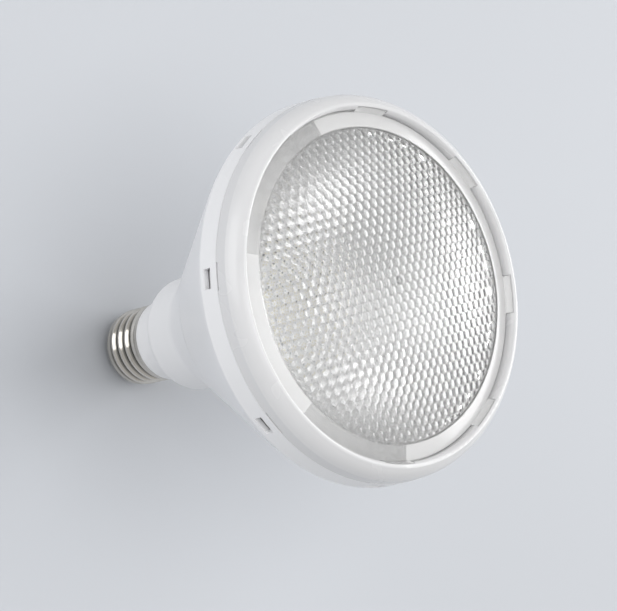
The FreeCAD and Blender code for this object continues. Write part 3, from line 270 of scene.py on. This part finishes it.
def moulded_polycarbonate(name, colour, glossy, dull):
    """Polycarbonate moulded in a spark-eroded tool: satin, with soft light in its edges."""
    material, tree, place = new_material(name)
    # Spark grain is about 0.1 mm; it is drawn three times as coarse, so that it shows.
    grain = add_node(tree, "ShaderNodeTexNoise", {
        "Vector": place, "Scale": per_metre(0.3), "Detail": 3.0, "Roughness": 0.6})
    # The melt's flow leaves slow changes of gloss and tone, about 18 mm across.
    flow = add_node(tree, "ShaderNodeTexNoise", {
        "Vector": place, "Scale": per_metre(18.0), "Detail": 2.0, "Distortion": 0.6})
    gloss = add_node(tree, "ShaderNodeMapRange", {
        "Value": flow.outputs["Fac"], "From Min": 0.3, "From Max": 0.7,
        "To Min": glossy, "To Max": dull})
    # The dimmest streaks of the flow keep 95 per cent of the colour.
    streak = [c * 0.95 for c in linear(colour)[:3]] + [1.0]
    tone = add_node(tree, "ShaderNodeMix", {
        0: flow.outputs["Fac"], 6: streak, 7: linear(colour)}, data_type="RGBA")
    bump = add_node(tree, "ShaderNodeBump", {
        "Height": grain.outputs["Fac"], "Strength": 0.12, "Distance": 0.02 * MM})
    close_material(tree, {
        "Base Color": tone.outputs[2], "Roughness": gloss.outputs["Result"],
        "Normal": bump.outputs["Normal"], "IOR": POLYCARBONATE_IOR,
        "Subsurface Weight": 0.15, "Subsurface Radius": (1.0, 1.0, 1.0),
        "Subsurface Scale": 1.5 * MM})
    return material


def clear_polycarbonate(name, colour, clearness, low, high):
    """Clear polycarbonate: polished, or milky where its tool is grained. A trace of melt flow."""
    material, tree, place = new_material(name)
    # Melt flow bends the surface a little, in waves about 9 mm across.
    flow = add_node(tree, "ShaderNodeTexNoise", {
        "Vector": place, "Scale": per_metre(9.0), "Detail": 1.0})
    # Handling leaves a faint haze, in specks about 1.2 mm across.
    haze = add_node(tree, "ShaderNodeTexNoise", {
        "Vector": place, "Scale": per_metre(1.2), "Detail": 2.0})
    gloss = add_node(tree, "ShaderNodeMapRange", {
        "Value": haze.outputs["Fac"], "From Min": 0.35, "From Max": 0.75,
        "To Min": low, "To Max": high})
    bump = add_node(tree, "ShaderNodeBump", {
        "Height": flow.outputs["Fac"], "Strength": 0.15, "Distance": 0.03 * MM})
    close_material(tree, {
        "Base Color": linear(colour), "Roughness": gloss.outputs["Result"],
        "Normal": bump.outputs["Normal"], "IOR": POLYCARBONATE_IOR, "Transmission Weight": clearness})
    return material


def metallised_plastic(name, colour, bare, bowl_radius):
    """Aluminium laid on moulded plastic in a vacuum: bright, with a faint orange peel."""
    material, tree, place = new_material(name)
    # The plastic under the aluminium has an orange peel about 2.5 mm across.
    peel = add_node(tree, "ShaderNodeTexNoise", {
        "Vector": place, "Scale": per_metre(2.5), "Detail": 2.0})
    mist = add_node(tree, "ShaderNodeMapRange", {
        "Value": peel.outputs["Fac"], "From Min": 0.3, "From Max": 0.7,
        "To Min": 0.22, "To Max": 0.32})
    # A mask keeps the aluminium off the flange outside the bowl, which stays bare plastic.
    coated = add_node(tree, "ShaderNodeMath", {
        0: radius_from_axis(tree, place), 1: bowl_radius}, operation="LESS_THAN")
    tone = add_node(tree, "ShaderNodeMix", {
        0: coated.outputs["Value"], 6: linear(bare), 7: linear(colour)}, data_type="RGBA")
    bump = add_node(tree, "ShaderNodeBump", {
        "Height": peel.outputs["Fac"], "Strength": 0.1, "Distance": 0.02 * MM})
    close_material(tree, {
        "Base Color": tone.outputs[2], "Metallic": coated.outputs["Value"],
        "Roughness": mist.outputs["Result"], "Normal": bump.outputs["Normal"]})
    return material


def plated_brass(name, colour, tarnish, painted_groove_shade, root, crest):
    """Nickel-plated brass with a rolled thread: bright crests, and grooves darkened by painted shade.
    """
    material, tree, place = new_material(name)
    # Rolling draws lines round the cap, about 0.25 mm apart and some 8 mm long.
    along = add_node(tree, "ShaderNodeMapping", {
        "Vector": place, "Scale": (per_metre(8.0), per_metre(8.0), per_metre(0.25))})
    lines = add_node(tree, "ShaderNodeTexNoise", {
        "Vector": along.outputs["Vector"], "Scale": 1.0, "Detail": 3.0})
    # Tarnish comes in clouds about 4 mm across.
    clouds = add_node(tree, "ShaderNodeTexNoise", {
        "Vector": place, "Scale": per_metre(4.0), "Detail": 4.0, "Roughness": 0.6})
    cover = add_node(tree, "ShaderNodeMapRange", {
        "Value": clouds.outputs["Fac"], "From Min": 0.5, "From Max": 0.8,
        "To Min": 0.0, "To Max": 0.3})
    tone = add_node(tree, "ShaderNodeMix", {
        0: cover.outputs["Result"], 6: linear(colour), 7: linear(tarnish)}, data_type="RGBA")
    # Painted shade darkens the thread from its root to about half its depth.
    shade_fade_radius = root + 0.55 * (crest - root)
    painted_shade = add_node(tree, "ShaderNodeMapRange", {
        "Value": radius_from_axis(tree, place), "From Min": root, "From Max": shade_fade_radius,
        "To Min": 0.85, "To Max": 0.0}, interpolation_type="SMOOTHSTEP")
    shade = add_node(tree, "ShaderNodeMix", {
        0: painted_shade.outputs["Result"], 6: tone.outputs[2], 7: linear(painted_groove_shade)}, data_type="RGBA")
    gloss = add_node(tree, "ShaderNodeMapRange", {
        "Value": lines.outputs["Fac"], "From Min": 0.3, "From Max": 0.7,
        "To Min": 0.1, "To Max": 0.22})
    bump = add_node(tree, "ShaderNodeBump", {
        "Height": lines.outputs["Fac"], "Strength": 0.15, "Distance": 0.02 * MM})
    close_material(tree, {
        "Base Color": shade.outputs[2], "Metallic": 1.0, "Roughness": gloss.outputs["Result"],
        "Normal": bump.outputs["Normal"]})
    return material


def worked_metal(name, colour, low, high, line_mm):
    """Metal marked by its working: fine lines across it, and a gloss that changes with them."""
    material, tree, place = new_material(name)
    # The tool draws its lines along Y, twelve times as long as they are wide.
    across = per_metre(line_mm)
    length = per_metre(12.0 * line_mm)
    along = add_node(tree, "ShaderNodeMapping", {
        "Vector": place, "Scale": (across, length, across)})
    lines = add_node(tree, "ShaderNodeTexNoise", {
        "Vector": along.outputs["Vector"], "Scale": 1.0, "Detail": 3.0})
    gloss = add_node(tree, "ShaderNodeMapRange", {
        "Value": lines.outputs["Fac"], "From Min": 0.3, "From Max": 0.7,
        "To Min": low, "To Max": high})
    bump = add_node(tree, "ShaderNodeBump", {
        "Height": lines.outputs["Fac"], "Strength": 0.2, "Distance": 0.02 * MM})
    close_material(tree, {
        "Base Color": linear(colour), "Metallic": 1.0, "Roughness": gloss.outputs["Result"],
        "Normal": bump.outputs["Normal"]})
    return material


def coated_surface(name, colour, shade, speck_mm, low, high, depth_mm):
    """Paint, epoxy, rubber or sleeve: two close tones in specks, with a matching relief."""
    material, tree, place = new_material(name)
    # Real grit is often finer than 0.3 mm, and is then drawn at least that coarse, to show.
    specks = add_node(tree, "ShaderNodeTexNoise", {
        "Vector": place, "Scale": per_metre(speck_mm), "Detail": 3.0})
    cover = add_node(tree, "ShaderNodeMapRange", {
        "Value": specks.outputs["Fac"], "From Min": 0.35, "From Max": 0.7})
    tone = add_node(tree, "ShaderNodeMix", {
        0: cover.outputs["Result"], 6: linear(colour), 7: linear(shade)}, data_type="RGBA")
    gloss = add_node(tree, "ShaderNodeMapRange", {
        "Value": specks.outputs["Fac"], "From Min": 0.3, "From Max": 0.7,
        "To Min": low, "To Max": high})
    bump = add_node(tree, "ShaderNodeBump", {
        "Height": specks.outputs["Fac"], "Strength": 0.2, "Distance": depth_mm * MM})
    close_material(tree, {
        "Base Color": tone.outputs[2], "Roughness": gloss.outputs["Result"],
        "Normal": bump.outputs["Normal"]})
    return material


def dress(node, material):
    """Gives a CAD node its finish."""
    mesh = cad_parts[node].data
    mesh.materials.clear()
    mesh.materials.append(material)


def dome_radius(sizes):
    """Radius of the ball that the dome under the pillows is cut from."""
    rise = sizes.dome_height - sizes.field_height
    return (sizes.field_radius ** 2 + rise ** 2) / (2.0 * rise)


def dome_height(sizes, radius, drop=0.0):
    """Height of the smooth dome under the pillows, or of one that much lower."""
    ball = dome_radius(sizes)
    return sizes.dome_height - drop - ball + math.sqrt(ball ** 2 - radius ** 2)


def corner_radius(sizes):
    """Distance from the middle of a pillow to its six corners."""
    return sizes.cell_pitch / math.sqrt(3.0)


def lattice_place(sizes, i, j):
    """Place of a point of the fine lattice, whose rows run along the pillows' edges."""
    step = corner_radius(sizes) / sizes.cell_steps
    first = sizes.cell_turn + math.radians(30.0)
    second = sizes.cell_turn + math.radians(90.0)
    x = sizes.cell_shift[0] + step * (i * math.cos(first) + j * math.cos(second))
    y = sizes.cell_shift[1] + step * (i * math.sin(first) + j * math.sin(second))
    return x, y


def pillow_height(sizes, i, j, x, y):
    """Height of the pillow's ball over its corners, at a place of the fine lattice."""
    steps = sizes.cell_steps
    corner = corner_radius(sizes)
    ball = (corner ** 2 + sizes.cell_rise ** 2) / (2.0 * sizes.cell_rise)
    # Pillow (p, q) has its middle at the lattice point steps * (2p + q, q - p), and the place
    # belongs to the nearest of the four pillows round it.
    row = (i - j) / (3.0 * steps)
    column = (i + 2 * j) / (3.0 * steps)
    nearest = corner
    for p in (math.floor(row), math.floor(row) + 1):
        for q in (math.floor(column), math.floor(column) + 1):
            cx, cy = lattice_place(sizes, steps * (2 * p + q), steps * (q - p))
            nearest = min(nearest, math.hypot(x - cx, y - cy))
    return math.sqrt(ball ** 2 - nearest ** 2) - ball + sizes.cell_rise


def pillow_field(sizes):
    """Points and triangles of the pillows, and the ring of points on the field's edge."""
    step = corner_radius(sizes) / sizes.cell_steps
    # Points past the edge, up to two steps out, can be drawn in to it.
    outer_limit = sizes.field_radius + 2.0 * step
    # A point less than 0.4 of a step inside the edge would leave slivers, so it is drawn out.
    inside_limit = sizes.field_radius - 0.4 * step
    # Rows of the lattice lie closer than its steps, and its middle is off the axis.
    row_distance = step * math.sin(math.radians(60.0))
    reach = math.ceil((outer_limit + math.hypot(*sizes.cell_shift)) / row_distance)
    places = {}
    for i in range(-reach, reach + 1):
        for j in range(-reach, reach + 1):
            x, y = lattice_place(sizes, i, j)
            if math.hypot(x, y) < outer_limit:
                places[i, j] = (x, y)
    inside = {key for key, (x, y) in places.items() if math.hypot(x, y) < inside_limit}
    index = {}
    points = []
    triangles = []
    for i, j in places:
        for corners in (((i, j), (i + 1, j), (i, j + 1)),
                        ((i + 1, j), (i + 1, j + 1), (i, j + 1))):
            if not all(key in places for key in corners):
                continue
            if not any(key in inside for key in corners):
                continue
            for key in corners:
                if key not in index:
                    index[key] = len(points)
                    points.append(field_point(sizes, key, places[key], key in inside))
            triangles.append([index[key] for key in corners])
    rim = [index[key] for key in index if key not in inside]
    rim.sort(key=lambda k: math.atan2(points[k][1], points[k][0]))
    return points, triangles, rim


def field_point(sizes, key, place, is_inside):
    """A point on its pillow. One that isn't inside the field is drawn to its edge."""
    x, y = place
    if not is_inside:
        scale = sizes.field_radius / math.hypot(x, y)
        x, y = x * scale, y * scale
    height = dome_height(sizes, math.hypot(x, y)) + pillow_height(sizes, key[0], key[1], x, y)
    return (x, y, height)


def lug_cover(sizes, angle):
    """True where a lug stands out of the ring."""
    pitch = 2.0 * math.pi / LUG_COUNT
    from_middle = (angle - sizes.lug_start + pitch / 2.0) % pitch - pitch / 2.0
    return abs(from_middle) < sizes.lug_width / 2.0


def lens_profile(sizes, with_lug):
    """Radius and height of the loops from the field's edge round to the underside."""
    edge = sizes.edge_size
    bead = sizes.field_radius + sizes.bead_gap
    bead_out = bead + sizes.bead_width
    bead_top = sizes.field_height + sizes.bead_height
    ring = sizes.ring_radius
    step = sizes.ring_height - sizes.ring_wall
    low = step - sizes.flange_wall
    if with_lug:
        rim = [(ring - edge, sizes.ring_height),
               (ring + sizes.lug_reach, sizes.ring_height + sizes.lug_rise),
               (ring + sizes.lug_reach, step)]
    else:
        rim = [(ring - edge, sizes.ring_height), (ring, sizes.ring_height - edge), (ring, step)]
    return [(bead, sizes.field_height), (bead + sizes.bead_draft, bead_top),
            (bead_out - sizes.bead_draft, bead_top), (bead_out, sizes.field_height)] + rim + [
                (sizes.flange_radius, step), (sizes.flange_radius, low),
                (ring - sizes.flange_reach, low),
                (bead + sizes.bead_gap, sizes.field_height - sizes.wall)]


def drawn_to_lugs(sizes, angles):
    """The rising angles of the rim's points, with two of them drawn to each side of a lug."""
    drawn = list(angles)
    for k in range(LUG_COUNT):
        middle = sizes.lug_start + 2.0 * math.pi * k / LUG_COUNT
        for side in (middle - sizes.lug_width / 2.0, middle + sizes.lug_width / 2.0):
            side = math.remainder(side, 2.0 * math.pi)
            after = bisect.bisect(angles, side)
            drawn[after - 1] = side - sizes.lug_draft / 2.0
            drawn[after % len(angles)] = side + sizes.lug_draft / 2.0
    return drawn


def add_loop(points, places):
    """Adds a point at each angle, radius and height, and returns the numbers of the points."""
    first = len(points)
    for angle, radius, height in places:
        points.append((radius * math.cos(angle), radius * math.sin(angle), height))
    return list(range(first, len(points)))


def lens_mesh(sizes):
    """The whole lens: pillows, bead, clear ring, lugs, flange and a smooth inner dome."""
    points, faces, rim = pillow_field(sizes)
    angles = drawn_to_lugs(sizes, [math.atan2(points[k][1], points[k][0]) for k in rim])
    plain = lens_profile(sizes, with_lug=False)
    lugged = lens_profile(sizes, with_lug=True)
    profiles = [lugged if lug_cover(sizes, angle) else plain for angle in angles]
    loop = rim
    for k in range(len(plain)):
        after = add_loop(points, [(angle, *profile[k])
                                  for angle, profile in zip(angles, profiles)])
        faces += band(loop, after)
        loop = after
    inner_rings = 12
    inner = plain[-1][0]
    # The inner dome is lifted a little towards its edge, to meet the wall's foot there.
    lift = sizes.field_height - sizes.wall - dome_height(sizes, inner, sizes.wall)
    for k in range(1, inner_rings):
        radius = inner * (1.0 - k / inner_rings)
        height = dome_height(sizes, radius, sizes.wall) + lift * (radius / inner) ** 2
        after = add_loop(points, [(angle, radius, height) for angle in angles])
        faces += band(loop, after)
        loop = after
    middle = len(points)
    points.append((0.0, 0.0, dome_height(sizes, 0.0, sizes.wall)))
    faces += [[loop[k], loop[(k + 1) % len(loop)], middle][::-1] for k in range(len(loop))]
    add_gate(sizes, points, faces)
    return points, faces


def band(loop, after):
    """Quads between two loops with the same number of points."""
    count = len(loop)
    return [[loop[k], after[k], after[(k + 1) % count], loop[(k + 1) % count]]
            for k in range(count)]


def add_gate(sizes, points, faces):
    """The low round mark that the moulding gate leaves on the axis."""
    sides = 32
    top = sizes.dome_height + sizes.cell_rise + sizes.gate_height
    outer = sizes.gate_radius
    inner = sizes.gate_radius / 2.0
    rings = [(outer, top - sizes.gate_depth), (outer, top - sizes.gate_edge),
             (outer - sizes.gate_edge, top), (inner + sizes.gate_edge, top),
             (inner, top - sizes.gate_dish)]
    loops = [add_loop(points, [(2.0 * math.pi * k / sides, radius, height)
                               for k in range(sides)]) for radius, height in rings]
    faces.append(loops[0][::-1])
    for loop, after in zip(loops, loops[1:]):
        faces += band(after, loop)
    faces.append(loops[-1])


def new_piece(name, points, faces, sharp_angle):
    """An object of a mesh, smooth but for its sharp edges, that rides on the lamp."""
    mesh = bpy.data.meshes.new(name)
    mesh.from_pydata(points, [], faces)
    mesh.validate()
    mesh.shade_smooth()
    mesh.set_sharp_from_angle(angle=sharp_angle)
    piece = bpy.data.objects.new(name, mesh)
    bpy.context.scene.collection.objects.link(piece)
    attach(piece, BODY)
    return piece


class LAMP_OT_cap(bpy.types.Operator):
    """Finishes the screw cap, its insulator and the centre contact"""

    bl_idname = "lamp.cap"
    bl_label = "Finish the cap"

    def execute(self, context):
        colours = context.scene.lamp_finishes
        sizes = context.scene.lamp_sizes
        # Plate over rolled brass mirrors the light in bright crests, broken by fine lines; painted
        # shade darkens the thread's roots.
        dress("screw_shell", plated_brass(
            "Brass, rolled and nickel plated", colours.cap, colours.tarnish, colours.painted_groove_shade,
            sizes.thread_root, sizes.thread_crest))
        # Glass fused in the cap is black, wet-looking and slightly wavy.
        dress("cap_insulator", coated_surface(
            "Glass, black and fused", "#0E0E11", "#1A1A1F",
            speck_mm=3.0, low=0.05, high=0.12, depth_mm=0.02))
        # Tin over pressed brass is a soft straw grey, with faint press lines.
        dress("centre_contact", worked_metal(
            "Brass, pressed and tinned", "#CBB98F", low=0.25, high=0.4, line_mm=0.4))
        return {"FINISHED"}


class LAMP_OT_housings(bpy.types.Operator):
    """Finishes both housings and the bezel ring"""

    bl_idname = "lamp.housings"
    bl_label = "Finish the housings"

    def execute(self, context):
        colours = context.scene.lamp_finishes
        # A spark-eroded tool gives both housings a satin skin that spreads highlights.
        housing = moulded_polycarbonate(
            "Polycarbonate, moulded satin white", colours.housing, glossy=0.28, dull=0.4)
        dress("rear_housing", housing)
        dress("front_housing", housing)
        # A finer tool makes the bezel glossier, so that its edges catch thin bright lines.
        dress("bezel_ring", moulded_polycarbonate(
            "Polycarbonate, moulded semi-gloss white", colours.bezel, glossy=0.18, dull=0.3))
        return {"FINISHED"}


class LAMP_OT_lens(bpy.types.Operator):
    """Models the clear lens with its field of pillows"""

    bl_idname = "lamp.lens"
    bl_label = "Model the lens"

    def execute(self, context):
        sizes = context.scene.lamp_sizes
        tint = context.scene.lamp_finishes.lens
        points, faces = lens_mesh(sizes)
        lens = new_piece("lens_moulding", points, faces, sharp_angle=math.radians(32.0))
        # The polished tool of the field leaves sharp glints in each pillow.
        lens.data.materials.append(clear_polycarbonate(
            "Polycarbonate, moulded clear", tint, clearness=0.92, low=0.02, high=0.07))
        # The grained tool of the ring leaves it milky, and pale beside the clear field.
        lens.data.materials.append(clear_polycarbonate(
            "Polycarbonate, moulded with a fine grain", tint,
            clearness=0.45, low=0.12, high=0.2))
        # Over two arcs of painted shade the ring is made clearer, so that the shade under it shows
        # through.
        lens.data.materials.append(clear_polycarbonate(
            "Polycarbonate, clearer over arcs of painted shade", tint,
            clearness=0.78, low=0.12, high=0.2))
        # The grain starts outside the bead.
        grain_start = sizes.field_radius + sizes.bead_gap + sizes.bead_width
        for face in lens.data.polygons:
            if face.center.xy.length > grain_start:
                turn = math.degrees(math.atan2(face.center.y, face.center.x)) % 360.0
                # Faces in the arcs of painted shade take the clearer material.
                light = any(low < turn < high for low, high in PAINTED_SHADE_ARCS)
                face.material_index = 2 if light else 1
        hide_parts("lens")
        return {"FINISHED"}


class LAMP_OT_reflector(bpy.types.Operator):
    """Finishes the reflector bowl and the gasket over it"""

    bl_idname = "lamp.reflector"
    bl_label = "Finish the reflector"

    def execute(self, context):
        colours = context.scene.lamp_finishes
        # Aluminium laid in a vacuum mirrors softly, and fills the lens with bright facets.
        dress("reflector", metallised_plastic(
            "Plastic, vacuum metallised", colours.reflector, colours.flange,
            context.scene.lamp_sizes.bowl_radius))
        # Moulded silicone is pale and dull, a soft line under the lens.
        dress("lens_gasket", coated_surface(
            "Silicone rubber, moulded", "#EDEDED", "#E4E4E5",
            speck_mm=1.5, low=0.45, high=0.6, depth_mm=0.03))
        return {"FINISHED"}


class LAMP_OT_light_board(bpy.types.Operator):
    """Finishes the heat sink, the light board and what is fixed to them"""

    bl_idname = "lamp.light_board"
    bl_label = "Finish the light board"

    def execute(self, context):
        colours = context.scene.lamp_finishes
        # Deep drawing stretches the sheet's skin into soft silver-grey streaks.
        dress("heat_sink", worked_metal(
            "Aluminium, deep drawn", "#D6D8DA", low=0.25, high=0.4, line_mm=0.5))
        # Zinc plate is brighter and cooler, over the fine marks of the screw's turning.
        steel = worked_metal("Steel, zinc plated", "#C9CBCE", low=0.2, high=0.35, line_mm=0.3)
        dress("heat_sink_screws", steel)
        dress("board_screws", steel)
        # Calendered rubber is matt, with the filler's fine blue-grey specks.
        dress("thermal_pad", coated_surface(
            "Silicone rubber, calendered", "#A9B3C2", "#98A2B2",
            speck_mm=0.8, low=0.6, high=0.75, depth_mm=0.03))
        # Screened mask is an even bright white with a low gloss.
        dress("led_board", coated_surface(
            "Solder mask, screened white", colours.board, "#F4F4F3",
            speck_mm=2.0, low=0.3, high=0.42, depth_mm=0.02))
        # Cast gel is smooth, and its phosphor turns it pale yellow.
        dress("led_packages", coated_surface(
            "Silicone gel with phosphor, cast", colours.phosphor, "#ECE4C4",
            speck_mm=0.5, low=0.2, high=0.35, depth_mm=0.02))
        # Moulded nylon is creamy, with a waxy gloss.
        dress("lead_connector", coated_surface(
            "Nylon, moulded", "#F0EEE4", "#E6E3D6",
            speck_mm=1.0, low=0.35, high=0.5, depth_mm=0.02))
        return {"FINISHED"}


class LAMP_OT_driver(bpy.types.Operator):
    """Finishes the driver board, its components and the leads"""

    bl_idname = "lamp.driver"
    bl_label = "Finish the driver"

    def execute(self, context):
        colours = context.scene.lamp_finishes
        # Mask over woven glass is a deep green whose gloss wavers with the weave.
        dress("driver_board", coated_surface(
            "Glass epoxy laminate, masked green", colours.laminate, "#245E3A",
            speck_mm=1.2, low=0.25, high=0.4, depth_mm=0.03))
        # Ground ferrite is charcoal grey and finely pitted.
        dress("transformer_core", coated_surface(
            "Ferrite, sintered and ground", "#38383B", "#2C2C2E",
            speck_mm=0.4, low=0.45, high=0.6, depth_mm=0.03))
        # Tape wound tight is glossy and a little uneven in its yellow.
        dress("transformer_winding", coated_surface(
            "Polyester tape, wound", "#E0B43A", "#D2A42C",
            speck_mm=1.5, low=0.15, high=0.3, depth_mm=0.03))
        # A shrunk sleeve is taut, dark blue and glossy.
        sleeve = coated_surface(
            "Polyester sleeve, shrunk on", "#1D2233", "#161A28",
            speck_mm=2.0, low=0.18, high=0.3, depth_mm=0.02)
        dress("bulk_capacitor", sleeve)
        dress("output_capacitor", sleeve)
        # Cast epoxy is amber and smooth.
        dress("film_capacitor", coated_surface(
            "Epoxy block, cast", "#D8AA3C", "#C99A30",
            speck_mm=1.0, low=0.2, high=0.35, depth_mm=0.02))
        # Transfer moulding leaves an even, matt and nearly black skin.
        chip = coated_surface(
            "Epoxy, transfer moulded", "#1E1E20", "#26262A",
            speck_mm=0.3, low=0.5, high=0.65, depth_mm=0.02)
        dress("bridge_rectifier", chip)
        dress("switching_chip", chip)
        # Dipping leaves a thick, glossy coat with a slight orange peel.
        dress("varistor", coated_surface(
            "Epoxy, dipped blue", "#2B4F9A", "#234489",
            speck_mm=1.2, low=0.15, high=0.3, depth_mm=0.04))
        # Dipped lacquer is thinner, and less glossy.
        dress("fuse_resistor", coated_surface(
            "Lacquer, dipped green", "#8FB48F", "#7FA582",
            speck_mm=0.8, low=0.25, high=0.4, depth_mm=0.03))
        # Extruded PVC has a smooth, half-dull skin.
        for name, colour, shade, leads in (
                ("PVC, extruded black", "#151517", "#1E1E21", ("live_lead", "negative_lead")),
                ("PVC, extruded white", "#EDEDEB", "#E2E2DF", ("neutral_lead",)),
                ("PVC, extruded brown", "#5B4636", "#4E3B2D", ("positive_lead",))):
            sheath = coated_surface(
                name, colour, shade, speck_mm=0.8, low=0.35, high=0.5, depth_mm=0.02)
            for lead in leads:
                dress(lead, sheath)
        return {"FINISHED"}


def soft_lamp(name, place, aim, size, power):
    """Adds a square area lamp that faces a point."""
    data = bpy.data.lights.new(name, "AREA")
    data.shape = "SQUARE"
    data.size = size
    data.energy = power
    lamp = bpy.data.objects.new(name, data)
    lamp.location = place
    lamp.rotation_mode = "QUATERNION"
    lamp.rotation_quaternion = (Vector(aim) - Vector(place)).to_track_quat("-Z", "Y")
    bpy.context.scene.collection.objects.link(lamp)


class LAMP_OT_stage(bpy.types.Operator):
    """Lays the floor, sets the lamps and places the camera"""

    bl_idname = "lamp.stage"
    bl_label = "Set the stage"

    def execute(self, context):
        stage = context.scene.lamp_stage
        half = stage.floor_size / 2.0
        mesh = bpy.data.meshes.new("floor")
        mesh.from_pydata([(-half, -half, 0.0), (half, -half, 0.0), (half, half, 0.0),
                          (-half, half, 0.0)], [], [(0, 1, 2, 3)])
        floor = bpy.data.objects.new("floor", mesh)
        context.scene.collection.objects.link(floor)
        # Matt coated paper has hardly any gloss, so the floor shows only a soft shadow.
        mesh.materials.append(coated_surface(
            "Paper, matt coated", stage.floor_colour, stage.floor_colour,
            speck_mm=1.0, low=0.8, high=0.9, depth_mm=0.02))

        world = bpy.data.worlds.new("surround")
        context.scene.world = world
        world.use_nodes = True
        tree = world.node_tree
        tree.nodes.clear()
        glow = add_node(tree, "ShaderNodeBackground", {
            "Color": linear(stage.surround_colour), "Strength": stage.world_strength})
        add_node(tree, "ShaderNodeOutputWorld", {"Surface": glow.outputs["Background"]})

        # All four face the bulb's axis, 80 mm over the floor.
        for name, place, size, power in (
                ("key_lamp", (-1.1, 0.45, 0.4), 0.9, stage.key_power),
                ("top_lamp", (-0.45, -0.15, 1.45), 0.8, stage.top_power),
                ("lens_lamp", (0.25, 0.05, 1.5), 1.2, stage.lens_power),
                ("side_lamp", (1.2, 0.15, 0.5), 0.9, stage.side_power)):
            soft_lamp(name, place, (0.0, 0.0, 0.08), size, power)

        camera = bpy.data.objects.new("camera", bpy.data.cameras.new("camera"))
        camera.data.sensor_width = 36.0
        camera.data.lens = stage.lens_length
        camera.data.clip_start = 0.01
        # The camera's own axes, as seen from the photograph's viewpoint.
        right = Vector((0.74748, -0.11130, 0.65490))
        up = Vector((0.0, 0.98586, 0.16756))
        back = Vector((-0.66429, -0.12524, 0.73691))
        turn = Matrix((right, up, back)).transposed().to_4x4()
        camera.matrix_world = Matrix.Translation((-0.5048, -0.0957, 0.6549)) @ turn
        context.scene.collection.objects.link(camera)
        context.scene.camera = camera
        context.scene.view_settings.view_transform = "Standard"
        return {"FINISHED"}


class LAMP_PT_panel(bpy.types.Panel):
    """Lists the steps that dress the lamp"""

    bl_idname = "LAMP_PT_panel"
    bl_label = "Reflector lamp"
    bl_space_type = "VIEW_3D"
    bl_region_type = "UI"
    bl_category = "Lamp"

    def draw(self, context):
        for operator in OPERATORS:
            self.layout.operator(operator.bl_idname)


OPERATORS = (LAMP_OT_cap, LAMP_OT_housings, LAMP_OT_lens, LAMP_OT_reflector,
             LAMP_OT_light_board, LAMP_OT_driver, LAMP_OT_stage)
CLASSES = (LampSizes, LampFinishes, StageSettings) + OPERATORS + (LAMP_PT_panel,)


def register():
    """Registers the classes and gives each scene its settings."""
    for cls in CLASSES:
        bpy.utils.register_class(cls)
    bpy.types.Scene.lamp_sizes = bpy.props.PointerProperty(type=LampSizes)
    bpy.types.Scene.lamp_finishes = bpy.props.PointerProperty(type=LampFinishes)
    bpy.types.Scene.lamp_stage = bpy.props.PointerProperty(type=StageSettings)


def unregister():
    """Takes the settings and the classes out again."""
    del bpy.types.Scene.lamp_stage
    del bpy.types.Scene.lamp_finishes
    del bpy.types.Scene.lamp_sizes
    for cls in reversed(CLASSES):
        bpy.utils.unregister_class(cls)


def main():
    register()
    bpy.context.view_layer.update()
    bpy.ops.lamp.cap()
    bpy.ops.lamp.housings()
    bpy.ops.lamp.lens()
    bpy.ops.lamp.reflector()
    bpy.ops.lamp.light_board()
    bpy.ops.lamp.driver()
    bpy.ops.lamp.stage()


if __name__ == "__main__":
    main()
